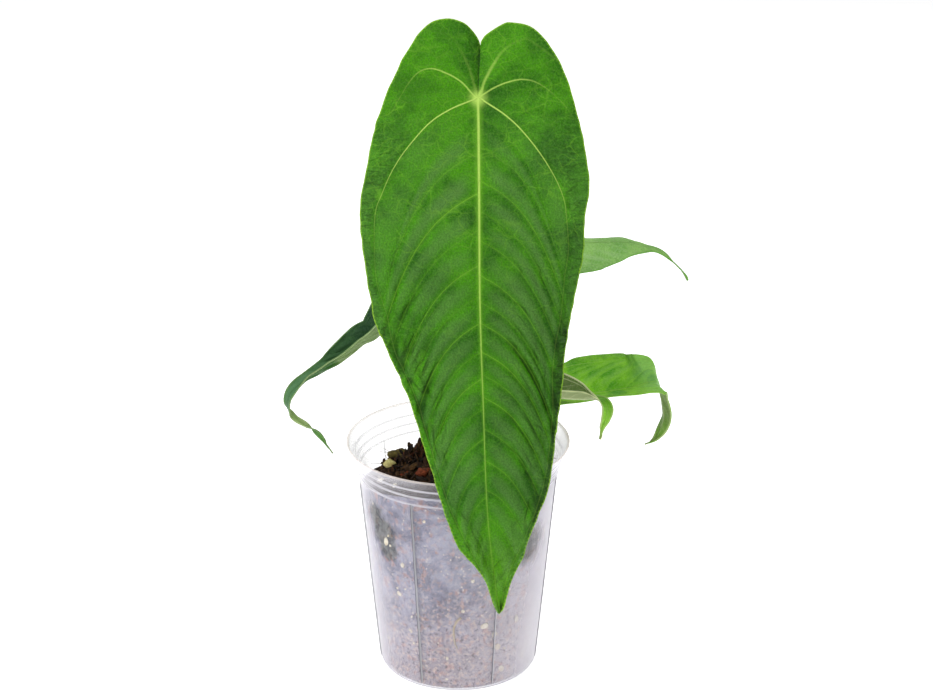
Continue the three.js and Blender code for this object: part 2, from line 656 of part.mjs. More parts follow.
// The filling without its lumps: rings of points from its foot up the wall and in over its top
function soilBody() {
  const foot = FLOOR_THICKNESS + SOIL_GAP;
  const atWall = (height) => wallRadius(height) - WALL - SOIL_WALL_GAP;
  const positions = [0, 0, foot];
  const addRing = (place) => {
    for (let k = 0; k < SOIL_SEGMENTS; k++) {
      const angle = (2 * Math.PI * k) / SOIL_SEGMENTS;
      positions.push(...place(Math.cos(angle), Math.sin(angle)));
    }
  };
  addRing((cos, sin) => [atWall(foot) * cos, atWall(foot) * sin, foot]);
  addRing((cos, sin) => {
    const radius = soilEdgeRadius(cos, sin);
    const edge = soilHeight(radius * cos, radius * sin) - SOIL_EDGE_ROUNDING;
    const height = Math.min(edge, SHOULDER_HEIGHT);
    return [atWall(height) * cos, atWall(height) * sin, height];
  });
  for (let i = SOIL_RINGS; i > 0; i--) {
    addRing((cos, sin) => {
      const radius = (soilEdgeRadius(cos, sin) * i) / SOIL_RINGS;
      return [radius * cos, radius * sin, soilHeight(radius * cos, radius * sin)];
    });
  }
  positions.push(0, 0, soilHeight(0, 0));
  const levels = SOIL_RINGS + 2;
  const last = positions.length / 3 - 1;
  const triangles = [];
  for (let k = 0; k < SOIL_SEGMENTS; k++) {
    const next = (k + 1) % SOIL_SEGMENTS;
    triangles.push(0, 1 + next, 1 + k);
    for (let i = 0; i + 1 < levels; i++) {
      const low = 1 + i * SOIL_SEGMENTS;
      const high = low + SOIL_SEGMENTS;
      triangles.push(low + k, low + next, high + next, low + k, high + next, high + k);
    }
    const topRing = 1 + (levels - 1) * SOIL_SEGMENTS;
    triangles.push(topRing + k, topRing + next, last);
  }
  return toSolid(indexedGeometry(positions, triangles));
}

function soilGeometry() {
  let soil = soilBody();
  for (const lump of soilLumps()) soil = soil.add(toSolid(lump));
  soil = outerShell(soil);
  const holeRadius = CROWN_LEDGE_RADIUS + SOIL_GAP;
  const hole = new THREE.CylinderGeometry(holeRadius, holeRadius, POT_HEIGHT, CROWN_SEGMENTS);
  hole.rotateX(Math.PI / 2).translate(0, 0, CROWN_SEAT_HEIGHT - SOIL_GAP + POT_HEIGHT / 2);
  soil = soil.subtract(toSolid(hole));
  for (const { size, seed, place, turn } of LOOSE_PIECES) {
    const grown = size.map((length) => length + CHIP_HOLLOW_GROWTH);
    soil = soil.subtract(toSolid(lumpGeometry(grown, seed, 1).rotateZ(turn).translate(...place)));
  }
  return toGeometry(outerShell(soil));
}

// Crown: the short stem, ringed by old leaf scars, with a flat top that the stalks stand on
function crownGeometry() {
  const top = CROWN_TOP_HEIGHT;
  const ledge = CROWN_LEDGE_HEIGHT;
  return turned([
    [0, CROWN_SEAT_HEIGHT], [CROWN_LEDGE_RADIUS - 1.2, CROWN_SEAT_HEIGHT],
    [CROWN_LEDGE_RADIUS, CROWN_SEAT_HEIGHT + 2], [CROWN_LEDGE_RADIUS - 0.4, ledge - 4],
    [CROWN_LEDGE_RADIUS, ledge], [CROWN_RADIUS - 0.2, ledge], [CROWN_RADIUS - 0.6, top - 6],
    [CROWN_RADIUS - 0.2, top - 4.2], [CROWN_RADIUS - 0.7, top - 2.4], [CROWN_RADIUS - 0.1, top - 0.8],
    [CROWN_RADIUS - 0.5, top], [0, top],
  ], CROWN_SEGMENTS);
}

// A papery bract: a curved, pointed strip that stands on the crown's ledge
function bractGeometry(height, halfWidth, degrees, lean) {
  const inner = CROWN_RADIUS + SEAT_GAP;
  const foot = CROWN_LEDGE_HEIGHT + SEAT_GAP;
  const rows = 6;
  const columns = 4;
  const positions = [];
  for (const depth of [BRACT_THICKNESS, 0]) {
    for (let i = 0; i <= rows; i++) {
      const t = i / rows;
      const half = halfWidth * Math.cos((Math.PI / 2) * t) ** 0.6 + BRACT_TIP_HALF_WIDTH;
      for (let k = 0; k <= columns; k++) {
        const angle = ((k / columns) * 2 - 1) * (half / inner);
        const radius = inner + depth + lean * t * t;
        positions.push(radius * Math.cos(angle), radius * Math.sin(angle), foot + t * height);
      }
    }
  }
  const at = (sheet, i, k) => sheet * (rows + 1) * (columns + 1) + i * (columns + 1) + k;
  const triangles = [];
  const quad = (a, b, c, d) => triangles.push(a, b, c, a, c, d);
  for (let i = 0; i < rows; i++) {
    for (let k = 0; k < columns; k++) {
      quad(at(0, i, k), at(0, i, k + 1), at(0, i + 1, k + 1), at(0, i + 1, k));
      quad(at(1, i, k), at(1, i + 1, k), at(1, i + 1, k + 1), at(1, i, k + 1));
    }
    quad(at(0, i, 0), at(0, i + 1, 0), at(1, i + 1, 0), at(1, i, 0));
    quad(at(0, i, columns), at(1, i, columns), at(1, i + 1, columns), at(0, i + 1, columns));
  }
  for (let k = 0; k < columns; k++) {
    quad(at(0, 0, k), at(1, 0, k), at(1, 0, k + 1), at(0, 0, k + 1));
    quad(at(0, rows, k), at(0, rows, k + 1), at(1, rows, k + 1), at(1, rows, k));
  }
  return indexedGeometry(positions, triangles).rotateZ(radians(degrees));
}

const group = new THREE.Group();

function addPart(name, geometry, color, roughness) {
  const mesh = new THREE.Mesh(geometry, new THREE.MeshStandardMaterial({ color, roughness, metalness: 0 }));
  mesh.name = name;
  group.add(mesh);
  return mesh;
}

addPart('pot', potGeometry(), '#dfe0e4', 0.35);
addPart('substrate', soilGeometry(), '#3a2a1f', 0.95);
addPart('crown', crownGeometry(), '#6f7a45', 0.7);
for (const { name, size, seed, place, turn, color } of LOOSE_PIECES) {
  addPart(name, lumpGeometry(size, seed, 1).rotateZ(turn).translate(...place), color, 0.9);
}
BRACTS.forEach(({ height, halfWidth, degrees, lean }, i) => {
  addPart(`bract_${i + 1}`, bractGeometry(height, halfWidth, degrees, lean), '#8a6a3c', 0.8);
});

const BLADE_COLOURS = {
  front: '#4f9a2c', left: '#3d6a4c', right_high: '#7fae62', right_back: '#5fa82f', right_front: '#6d8a45',
};
for (const name of Object.keys(LEAVES)) {
  addPart(`petiole_${name}`, petioleGeometry(name), '#6f9440', 0.6);
  addPart(`blade_${name}`, bladeGeometry(LEAVES[name]), BLADE_COLOURS[name], 0.5);
}

export default group;
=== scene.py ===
"""A potted anthurium in a clear nursery pot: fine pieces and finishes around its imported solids.

Lengths in the tables are millimetres, as in the part's source; meshes are made in metres.
"""

import math
import random

import bmesh
import bpy
import numpy as np
from mathutils import Euler, Matrix, Vector, noise


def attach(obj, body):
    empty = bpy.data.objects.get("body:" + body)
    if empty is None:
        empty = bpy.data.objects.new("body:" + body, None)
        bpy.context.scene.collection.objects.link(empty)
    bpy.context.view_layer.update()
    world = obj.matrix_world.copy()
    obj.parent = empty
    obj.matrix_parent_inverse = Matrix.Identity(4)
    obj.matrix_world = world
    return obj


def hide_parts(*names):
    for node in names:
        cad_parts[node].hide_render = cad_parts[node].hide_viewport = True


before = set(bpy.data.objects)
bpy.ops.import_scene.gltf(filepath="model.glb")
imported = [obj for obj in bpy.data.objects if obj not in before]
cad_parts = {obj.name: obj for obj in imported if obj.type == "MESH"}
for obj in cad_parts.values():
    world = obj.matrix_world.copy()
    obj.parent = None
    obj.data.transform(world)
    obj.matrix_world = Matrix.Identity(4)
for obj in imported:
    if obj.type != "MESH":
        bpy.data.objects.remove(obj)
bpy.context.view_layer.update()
scene = bpy.context.scene
scene.view_settings.view_transform = "Standard"

MM = 0.001

# Points closer than these are merged, in metres
CLOSE = 1e-6
VERY_CLOSE = 1e-7

# Pot
POT_HEIGHT = 130.0
RIM_RADIUS = 60.0
SHOULDER_RADIUS = 53.6
SHOULDER_HEIGHT = 111.0
BASE_RADIUS = 43.4
WALL = 0.8
FLOOR_THICKNESS = 1.0
RING_HEIGHTS = (113.6, 118.4, 123.0)
RING_RELIEF = 0.5
RING_REACH = 0.42
INNER_RING_RELIEF = 0.25
INNER_RING_REACH = 0.6
POT_SIDES = 180
PLASTIC_IOR = 1.49
RIB_COUNT = 7
RIB_START_DEGREES = -117
RIB_FOOT = 3.0
RIB_PROUD = 0.42
RIB_SUNK = 0.2
RIB_WIDTH_OUTSIDE = 0.55
RIB_WIDTH_INSIDE = 1.1
RIB_SOFT_EDGE = 0.1
DRAIN_COUNT = 8
DRAIN_RADIUS = 3.2
DRAIN_SIDES = 32
DRAIN_RING_RADIUS = 31.0

# Mix
SOIL_EDGE_HEIGHT = 109.0
SOIL_RISE_TO_FRONT = 0.2
SOIL_RISE_TO_RIGHT = 0.08
SOIL_MOUND_HEIGHT = 16.0
SOIL_RIDGE = (-20.0, -3.0, 3.5, 13.0, 12.0)
SOIL_WALL_GAP = 0.45

# Crown and bracts
CROWN_RADIUS = 8.0
CROWN_LEDGE_RADIUS = 9.8
CROWN_SEAT_HEIGHT = 108.0
CROWN_LEDGE_HEIGHT = 119.0
CROWN_TOP_HEIGHT = 128.0
BRACTS = ((21, 4.4, 152, 2.2), (16, 3.8, 238, 1.4), (12, 3.4, 20, 1.8))

# Blades and stalks
BLADE_THICKNESS = 0.6
FOLD_WIDTH = 4.0
SEAT_GAP = 0.3
KNEE_LENGTH = 12.0
UPRIGHT_START = 5.0


# Measures that several pieces share

def smooth_line(points, shares):
    """Places on a smooth line through the points, at shares of its spans."""
    p = np.asarray(points, float)
    p = np.vstack([2 * p[0] - p[1], p, 2 * p[-1] - p[-2]])
    spans = len(p) - 3
    at = np.clip(np.asarray(shares, float) * spans, 0, spans - 1e-9)
    i = at.astype(int)
    w = (at - i)[:, None]
    a, b, c, d = p[i], p[i + 1], p[i + 2], p[i + 3]
    return 0.5 * (2 * b + (c - a) * w + (2 * a - 5 * b + 4 * c - d) * w ** 2
                  + (3 * b - a - 3 * c + d) * w ** 3)


def evenly(points, shares, dense=2400):
    """Places on the smooth line at shares of its length."""
    line = smooth_line(points, np.linspace(0, 1, dense))
    run = np.concatenate([[0], np.cumsum(np.linalg.norm(np.diff(line, axis=0), axis=1))])
    return np.stack([np.interp(np.asarray(shares) * run[-1], run, column) for column in line.T], -1)


def unit(rows):
    """Each row at a length of 1."""
    return rows / np.maximum(np.linalg.norm(rows, axis=-1, keepdims=True), 1e-12)


def eased(value, low, high):
    """0 below low, 1 above high, with soft ends."""
    t = np.clip((np.asarray(value, float) - low) / (high - low), 0, 1)
    return t * t * (3 - 2 * t)


def wall_radius(height):
    """Outer radius of the pot's wall at a height: a straight taper, then the flare up to the rim."""
    height = np.asarray(height, float)
    t = np.clip((height - SHOULDER_HEIGHT) / (POT_HEIGHT - SHOULDER_HEIGHT), 0, 1)
    taper = BASE_RADIUS + (SHOULDER_RADIUS - BASE_RADIUS) * np.minimum(height / SHOULDER_HEIGHT, 1)
    return taper + (RIM_RADIUS - SHOULDER_RADIUS) * (0.35 * t + 0.65 * t ** 2.6)


def soil_height(x, y):
    """Height of the mix: a bed that slopes to the back, a mound over it and a ridge of loose bits."""
    share = np.minimum(np.hypot(x, y) / wall_radius(SOIL_EDGE_HEIGHT), 1)
    bed = SOIL_EDGE_HEIGHT - SOIL_RISE_TO_FRONT * y + SOIL_RISE_TO_RIGHT * x
    ridge_x, ridge_y, height, length, width = SOIL_RIDGE
    ridge = height * np.exp(-(((x - ridge_x) / length) ** 2) - ((y - ridge_y) / width) ** 2)
    return bed + SOIL_MOUND_HEIGHT * np.cos(math.pi / 2 * share) + ridge * (1 - share ** 4)


def rough(places, scale, octaves=3, shift=0.0):
    """Smooth noise between about -1 and 1 at places in mm, with lumps of about 1 / scale mm."""
    return np.array([
        noise.fractal(Vector(place) * scale + Vector((shift, shift * 1.7, shift * 0.6)), 1.0, 2.0, octaves)
        for place in places])


def as_object(name, bm, materials, smooth=True):
    """Puts a finished bmesh, in metres, into the scene."""
    mesh = bpy.data.meshes.new(name)
    bm.to_mesh(mesh)
    bm.free()
    for material in materials:
        mesh.materials.append(material)
    mesh.polygons.foreach_set("use_smooth", [smooth] * len(mesh.polygons))
    piece = bpy.data.objects.new(name, mesh)
    scene.collection.objects.link(piece)
    return piece


def add_part(bm, part):
    """Moves a small bmesh into a big one."""
    mesh = bpy.data.meshes.new("part")
    part.to_mesh(mesh)
    part.free()
    bm.from_mesh(mesh)
    bpy.data.meshes.remove(mesh)


def place_on(piece, *nodes, slot=None):
    """The piece rides on the plant's one body and stands for the nodes."""
    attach(piece, "root")
    if nodes:
        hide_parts(*nodes)


def shaped_grid(columns, rows, shape):
    """A grid whose points are moved to shape(u, v), with u along its columns and v along its rows."""
    bm = bmesh.new()
    bmesh.ops.create_grid(bm, x_segments=columns, y_segments=rows, size=1)
    bm.verts.ensure_lookup_table()
    flat = np.array([v.co[:2] for v in bm.verts])
    u = np.rint((flat[:, 0] + 1) / 2 * columns) / columns
    v = np.rint((flat[:, 1] + 1) / 2 * rows) / rows
    places = shape(u, v) * MM
    for vert, place in zip(bm.verts, places):
        vert.co = place
    return bm


def swept_tube(line, radii, sides, bump=None):
    """A closed round stalk along a line of points, with a radius for each."""
    line = np.asarray(line, float)
    direction = unit(np.gradient(line, axis=0))
    normal = np.empty_like(line)
    normal[0] = unit(np.cross(direction[0], [0.0, 1.0, 0.0]) + [1e-6, 0, 0])
    for i in range(1, len(line)):
        normal[i] = unit(normal[i - 1] - direction[i] * (normal[i - 1] @ direction[i]))
    other = np.cross(direction, normal)
    count = len(line) - 1

    def shape(u, v):
        i = np.rint(v * count).astype(int)
        angle = 2 * math.pi * u
        radius = np.asarray(radii)[i]
        if bump is not None:
            radius = radius * (1 + bump(u, v))
        return (line[i] + (np.cos(angle) * radius)[:, None] * normal[i]
                + (np.sin(angle) * radius)[:, None] * other[i])

    bm = shaped_grid(sides, count, shape)
    bmesh.ops.remove_doubles(bm, verts=bm.verts, dist=VERY_CLOSE)
    bmesh.ops.holes_fill(bm, edges=[e for e in bm.edges if e.is_boundary], sides=0)
    bmesh.ops.recalc_face_normals(bm, faces=bm.faces)
    return bm


# Finishes

def colour(red, green, blue):
    """A colour given by the values a screen shows, 0 to 255."""
    def linear(value):
        value /= 255
        return value / 12.92 if value <= 0.04045 else ((value + 0.055) / 1.055) ** 2.4
    return (linear(red), linear(green), linear(blue), 1.0)


class Wiring:
    """Short calls that add nodes to a tree and give back their output sockets."""

    def __init__(self, tree):
        self.tree = tree

    def node(self, kind, inputs=None, **settings):
        made = self.tree.nodes.new(kind)
        for name, value in settings.items():
            setattr(made, name, value)
        for name, value in (inputs or {}).items():
            self.feed(made.inputs[name], value)
        return made

    def feed(self, socket, value):
        if isinstance(value, bpy.types.NodeSocket):
            self.tree.links.new(value, socket)
        else:
            socket.default_value = value

    def math(self, operation, a, b=0.0, c=0.0, clamp=False):
        made = self.node("ShaderNodeMath", operation=operation, use_clamp=clamp)
        for socket, value in zip(made.inputs, (a, b, c)):
            self.feed(socket, value)
        return made.outputs[0]

    def plus(self, a, b):
        return self.math("ADD", a, b)

    def minus(self, a, b):
        return self.math("SUBTRACT", a, b)

    def times(self, a, b):
        return self.math("MULTIPLY", a, b)

    def over(self, a, b):
        return self.math("DIVIDE", a, b)

    def larger(self, a, b):
        return self.math("MAXIMUM", a, b)

    def mix(self, factor, a, b):
        made = self.node("ShaderNodeMix", data_type="RGBA")
        self.feed(made.inputs[0], factor)
        self.feed(made.inputs[6], a)
        self.feed(made.inputs[7], b)
        return made.outputs[2]

    def layered(self, tone, *layers):
        """The tone under layers of (mask, amount, tint)."""
        for mask, amount, tint in layers:
            tone = self.mix(self.times(mask, amount), tone, tint)
        return tone

    def summed(self, first, *others):
        """The sum of (value, share) pairs."""
        total = self.times(*first)
        for value, share in others:
            total = self.plus(total, self.times(value, share))
        return total

    def eased(self, value, low, high, bottom=0.0, top=1.0):
        made = self.node("ShaderNodeMapRange", interpolation_type="SMOOTHSTEP")
        for name, number in zip(("Value", "From Min", "From Max", "To Min", "To Max"),
                                (value, low, high, bottom, top)):
            self.feed(made.inputs[name], number)
        return made.outputs[0]

    def noise(self, place, scale, detail=2.0, roughness=0.5, distortion=0.0):
        made = self.node("ShaderNodeTexNoise", {
            "Vector": place, "Scale": scale, "Detail": detail, "Roughness": roughness,
            "Distortion": distortion})
        return made.outputs["Fac"]

    def cells(self, place, scale, feature="F1"):
        made = self.node("ShaderNodeTexVoronoi", {"Vector": place, "Scale": scale}, feature=feature)
        return made.outputs["Distance"]

    def parts(self, vector):
        return self.node("ShaderNodeSeparateXYZ", {"Vector": vector}).outputs

    def vector(self, x, y, z=0.0):
        return self.node("ShaderNodeCombineXYZ", {"X": x, "Y": y, "Z": z}).outputs[0]

    def scaled(self, vector, x, y, z):
        made = self.node("ShaderNodeVectorMath", operation="MULTIPLY")
        self.feed(made.inputs[0], vector)
        made.inputs[1].default_value = (x, y, z)
        return made.outputs[0]

    def attribute(self, name, output="Vector"):
        return self.node("ShaderNodeAttribute", attribute_name=name).outputs[output]

    def place_in_mm(self):
        """Where a point of the piece is, in mm."""
        return self.scaled(self.node("ShaderNodeTexCoord").outputs["Object"], 1 / MM, 1 / MM, 1 / MM)

    def group(self, tree, **inputs):
        made = self.node("ShaderNodeGroup", node_tree=tree)
        for name, value in inputs.items():
            self.feed(made.inputs[name.replace("_", " ")], value)
        return made.outputs


def new_group(name, inputs, outputs):
    """A node group with named sockets: its wiring, what it is given and what it puts out."""
    tree = bpy.data.node_groups.new(name, "ShaderNodeTree")
    for direction, sockets in (("INPUT", inputs), ("OUTPUT", outputs)):
        for label, kind in sockets:
            tree.interface.new_socket(label, in_out=direction, socket_type="NodeSocket" + kind)
    source = tree.nodes.new("NodeGroupInput")
    target = tree.nodes.new("NodeGroupOutput")
    return Wiring(tree), source.outputs, target.inputs


def new_material(name, **fixed):
    """A Principled material, its wiring and its shader's inputs. Fixed numbers go on the shader itself."""
    material = bpy.data.materials.new(name)
    material.use_nodes = True
    shader = material.node_tree.nodes["Principled BSDF"]
    for label, value in fixed.items():
        shader.inputs[label.replace("_", " ")].default_value = value
    return material, Wiring(material.node_tree), shader.inputs


def add_bump(wiring, shader, height, distance, strength=1.0):
    made = wiring.node("ShaderNodeBump", {"Height": height, "Distance": distance, "Strength": strength})
    wiring.feed(shader["Normal"], made.outputs["Normal"])


def band_mask(wiring, distance, half_width, softness):
    """1 within half_width of a line and 0 beyond it, where distance is signed."""
    away = wiring.math("ABSOLUTE", distance)
    inner = wiring.minus(half_width, softness)
    outer = wiring.plus(half_width, softness)
    return wiring.eased(away, inner, outer, 1.0, 0.0)


def vein_group():
    """Masks of a blade's veins, from its flat measures in mm.

    Flat is (along, across, distance to the margin), Veins is the signed distances to the main side
    vein, the lobe vein and the inner lobe vein, and Rows is (count of side veins passed, their gap,
    how strongly the nearest shows).
    """
    w, given, out = new_group(
        "Blade veins",
        [("Flat", "Vector"), ("Veins", "Vector"), ("Rows", "Vector"), ("Length", "Float"),
         ("Rib Width", "Float")],
        [("Rib", "Float"), ("Rib Core", "Float"), ("Main", "Float"), ("Side", "Float"),
         ("Side Band", "Float"), ("Net", "Float"), ("Star", "Float"), ("Edge", "Float")])
    along, across, margin = w.parts(given["Flat"])
    main, lobe, inner = w.parts(given["Veins"])
    count, gap, strength = w.parts(given["Rows"])
    reach = w.math("ABSOLUTE", across)
    share = w.over(along, given["Length"])
    half = w.times(given["Rib Width"], w.eased(share, 0.02, 0.7, 1.0, 0.36))
    past = w.eased(along, -2.0, 0.0)
    rib = w.math("POWER", w.eased(w.over(reach, half), 0.2, 2.0, 1.0, 0.0), 1.5)
    w.feed(out["Rib"], w.times(rib, w.times(past, w.eased(share, 0.2, 0.8, 1.0, 0.5))))
    core = w.times(w.eased(w.over(reach, half), 0.1, 0.48, 1.0, 0.0), past)
    w.feed(out["Rib Core"], w.times(core, w.eased(share, 0.1, 0.75, 1.0, 0.45)))

    near = w.math("SQRT", w.plus(w.times(along, along), w.times(across, across)))
    w.feed(out["Star"], w.math("POWER", w.eased(near, 0.0, 8.0, 1.0, 0.0), 1.8))
    taper = w.eased(near, 0.0, 80.0, 1.0, 0.4)

    def vein_line(distance, half_width, softness, shown):
        return w.times(band_mask(w, distance, w.times(taper, half_width), softness), shown)

    main_line = vein_line(main, 0.34, 0.22, w.eased(along, 20.0, 75.0, 1.0, 0.12))
    lobe_fade = w.times(w.eased(reach, 14.0, 38.0, 0.7, 0.1), w.eased(along, 4.0, 12.0, 1.0, 0.0))
    lobe_line = vein_line(lobe, 0.36, 0.26, lobe_fade)
    inner_line = vein_line(inner, 0.7, 0.6, w.eased(near, 8.0, 34.0, 0.5, 0.07))
    inner_line = w.times(inner_line, w.eased(along, -3.0, 0.0, 1.0, 0.0))
    inner_line = w.times(inner_line, w.eased(across, -1.0, 1.0, 0.3, 1.0))
    w.feed(out["Main"], w.larger(main_line, w.larger(lobe_line, inner_line)))

    nearest = w.minus(count, w.math("ROUND", count))
    distance = w.times(nearest, gap)
    inside = w.eased(main, -3.0, 1.0, 1.0, 0.2)
    shown = w.times(strength, inside)
    thin = band_mask(w, distance, 0.28, 0.22)
    wide = w.times(band_mask(w, distance, 0.8, 0.75), 0.35)
    w.feed(out["Side"], w.times(w.larger(thin, wide), shown))
    # Side Band marks painted light: fresh green under each side vein, where the quilted relief's slope shows
    # no sheen.
    below = w.times(w.eased(distance, -4.5, -0.4, 0.0, 1.0), w.eased(distance, -0.3, 0.5, 1.0, 0.0))
    w.feed(out["Side Band"], w.times(below, inside))

    flat = w.vector(along, across)
    wobble = w.node("ShaderNodeTexNoise", {"Vector": flat, "Scale": 0.18, "Detail": 2.0}).outputs["Color"]
    shaken = w.node("ShaderNodeVectorMath", operation="MULTIPLY_ADD")
    w.feed(shaken.inputs[0], wobble)
    shaken.inputs[1].default_value = (5.0, 5.0, 0.0)
    w.feed(shaken.inputs[2], flat)
    coarse = w.cells(w.scaled(shaken.outputs[0], 1.0, 0.7, 0.0), 0.15, "DISTANCE_TO_EDGE")
    fine = w.cells(shaken.outputs[0], 0.4, "DISTANCE_TO_EDGE")
    net = w.larger(w.eased(coarse, 0.0, 0.055, 1.0, 0.0), w.eased(fine, 0.0, 0.1, 0.4, 0.0))
    patchy = w.eased(w.noise(flat, 0.05, 2.0), 0.35, 0.7, 0.15, 1.0)
    at_base = w.times(w.eased(along, 10.0, 50.0, 1.0, 0.0), w.eased(near, 8.0, 22.0))
    net = w.times(net, w.eased(along, 50.0, 110.0, 1.0, 0.45))
    w.feed(out["Net"], w.times(net, w.plus(patchy, w.times(at_base, 0.2))))
    w.feed(out["Edge"], w.eased(margin, 0.3, 1.1, 1.0, 0.0))
    return w.tree


VEINS = vein_group()


def crease_group():
    """Fine creases of a thick leaf: along the side veins, beside the main vein and across the edge strip."""
    w, given, out = new_group("Leaf creases", [("Flat", "Vector"), ("Veins", "Vector"), ("Rows", "Vector")],
                              [("Crease", "Float"), ("Folds", "Float")])
    along, across, _ = w.parts(given["Flat"])
    main = w.parts(given["Veins"])[0]
    count = w.parts(given["Rows"])[0]
    reach = w.math("ABSOLUTE", across)
    side = w.math("SIGN", across)
    rows = w.vector(w.times(count, 13.0), w.times(across, 0.36))
    by_rows = w.noise(rows, 0.08, 2.0, 0.5, 0.3)
    beside = w.vector(main, w.times(along, 0.3), w.times(side, 20.0))
    by_main = w.noise(beside, 0.13, 1.0, 0.5)
    strip = w.noise(w.vector(along, w.times(main, 0.4), side), 0.2, 2.0)
    nearest = w.times(w.minus(count, w.math("ROUND", count)), w.parts(given["Rows"])[1])

    def valley(value, width):
        away = w.math("ABSOLUTE", w.minus(value, 0.5))
        return w.eased(away, 0.0, width, 1.0, 0.0)

    lower = w.times(w.eased(along, 70, 115), w.eased(along, 215, 245, 1.0, 0.2))
    rows_zone = w.times(lower, w.times(w.eased(reach, 12, 27), w.eased(main, -8, -4, 1, 0)))
    from_main = w.math("ABSOLUTE", w.plus(main, 3))
    main_zone = w.times(w.eased(along, 85, 130), w.eased(from_main, 2, 8, 1, 0))
    strip_zone = w.times(w.eased(along, -10, 50), w.eased(main, 0.5, 2.5))
    patches = w.eased(w.noise(w.vector(along, across), 0.04, 2.0), 0.44, 0.58, 0.08, 1.0)
    crease = w.times(w.times(rows_zone, patches), valley(by_rows, 0.045))
    which_side = w.noise(w.vector(along, w.times(side, 40.0)), 0.03, 1.0)
    shift = w.eased(which_side, 0.47, 0.53, -1.1, 1.1)
    beside_vein = band_mask(w, w.plus(nearest, shift), 0.75, 0.7)
    vein_zone = w.times(w.eased(reach, 8, 22), w.eased(along, 45, 110))
    vein_zone = w.times(vein_zone, w.times(w.eased(main, -6, -3, 1, 0), patches))
    crease = w.larger(crease, w.times(w.times(vein_zone, beside_vein), 0.9))
    main_crease = w.times(w.times(main_zone, patches), valley(by_main, 0.05))
    crease = w.larger(crease, w.times(main_crease, 0.8))
    crease = w.larger(crease, w.times(w.times(strip_zone, 0.5), valley(strip, 0.04)))
    # The blade's upper face darkens with Crease: painted shade in the creases.
    w.feed(out["Crease"], crease)
    w.feed(out["Folds"], w.summed((rows_zone, w.minus(by_rows, 0.5)), (main_zone, w.minus(by_main, 0.5)),
                                  (strip_zone, w.minus(strip, 0.5))))
    return w.tree


CREASES = crease_group()


def mottle_group():
    """Soft patches and a fine sparkle on a leaf's skin, from its flat measures in mm."""
    w, given, out = new_group("Leaf skin", [("Flat", "Vector")],
                              [("Patch", "Float"), ("Fleck", "Float"), ("Grain", "Float")])
    along, across, _ = w.parts(given["Flat"])
    flat = w.vector(along, across)
    broad = w.noise(flat, 0.04, 3.0, 0.55)
    small = w.noise(flat, 0.2, 3.0, 0.6)
    w.feed(out["Patch"], w.eased(w.summed((broad, 0.8), (small, 0.2)), 0.38, 0.62))
    w.feed(out["Fleck"], w.eased(w.noise(flat, 0.8, 3.0, 0.8), 0.46, 0.6))
    w.feed(out["Grain"], w.eased(w.noise(flat, 1.15, 2.0, 0.7), 0.36, 0.64))
    return w.tree


SKIN = mottle_group()


def toward_tip(w, from_tip, tone, tips):
    """The tone shaded into each tint between two distances from the leaf's tip, in mm."""
    for far, near, amount, tint in tips:
        tone = w.mix(w.eased(from_tip, near, far, amount, 0.0), tone, tint)
    return tone


def dimmed(tone, share):
    """A colour at a share of its light."""
    return tuple(share * value for value in tone[:3]) + (1.0,)


def blade_material(name, leaf, rib_width, deep, fresh, dull, vein, bright, edge, roughness, grain=1.0,
                   lines=1.0, tips=()):
    """The upper face of a blade: deep to fresh green, painted sheen and painted shade, pale veins and a thin
    edge.

    Tips are rows of (far, near, amount, tint): how far from the tip a tint starts and is full, in mm.
    """
    material, w, shader = new_material(name, Specular_IOR_Level=0.1)
    flat = w.attribute("flat")
    fields = {"Flat": flat, "Veins": w.attribute("veins"), "Rows": w.attribute("rows")}
    veins = w.group(VEINS, Length=leaf.midrib.length, Rib_Width=rib_width, **fields)
    creases = w.group(CREASES, **fields)
    skin = w.group(SKIN, Flat=flat)
    relief = w.attribute("relief", "Fac")
    from_tip = w.minus(leaf.midrib.length, w.parts(flat)[0])
    grain_and_shade_black = dimmed(deep, 0.1)
    tone = w.mix(w.math("ADD", skin["Patch"], w.attribute("fresh", "Fac"), clamp=True), deep, fresh)
    # Grey-green painted sheen, as much as the tone attribute holds.
    tone = w.mix(w.attribute("tone", "Fac"), tone, dull)
    # Painted light of the quilted relief: sheen on raised lumps, fresh green in the band under each side
    # vein.
    tone = w.layered(tone, (w.eased(relief, 0.1, 1.0), 0.5, dull), (veins["Side Band"], 0.35, fresh))
    tone = toward_tip(w, from_tip, tone, tips)
    # Flecks of painted sparkle, and a dark grain.
    tone = w.layered(tone, (skin["Fleck"], 0.32, dull), (skin["Grain"], 0.36 * grain, grain_and_shade_black))
    # Painted shade: darker in the relief's hollows, where the shade attribute says, and in the creases.
    dark = w.plus(w.eased(relief, -1.1, 0.0, 0.5, 0.0), w.attribute("shade", "Fac"))
    dark = w.plus(dark, w.times(creases["Crease"], 0.5 * grain))
    tone = w.mix(w.math("MINIMUM", dark, 0.8), tone, grain_and_shade_black)
    tone = w.layered(
        tone, (veins["Net"], 0.36, vein), (veins["Side"], 0.8, vein), (veins["Rib"], 0.5, vein),
        (veins["Main"], 0.95 * lines, bright),
        (veins["Rib Core"], w.eased(from_tip, 20.0, 100.0, 0.25 * lines, 0.8 * lines), bright),
        (veins["Star"], 0.9, bright), (veins["Edge"], 0.8, edge))
    w.feed(shader["Base Color"], tone)
    w.feed(shader["Roughness"], w.plus(roughness, w.times(skin["Fleck"], 0.15)))
    height = w.summed(
        (skin["Grain"], -0.14 * grain), (creases["Crease"], -0.6 * grain), (creases["Folds"], 7.0 * grain),
        (veins["Net"], -0.08), (veins["Side"], -0.35), (veins["Main"], 0.3), (veins["Rib"], 0.7))
    add_bump(w, shader, height, MM)
    return material


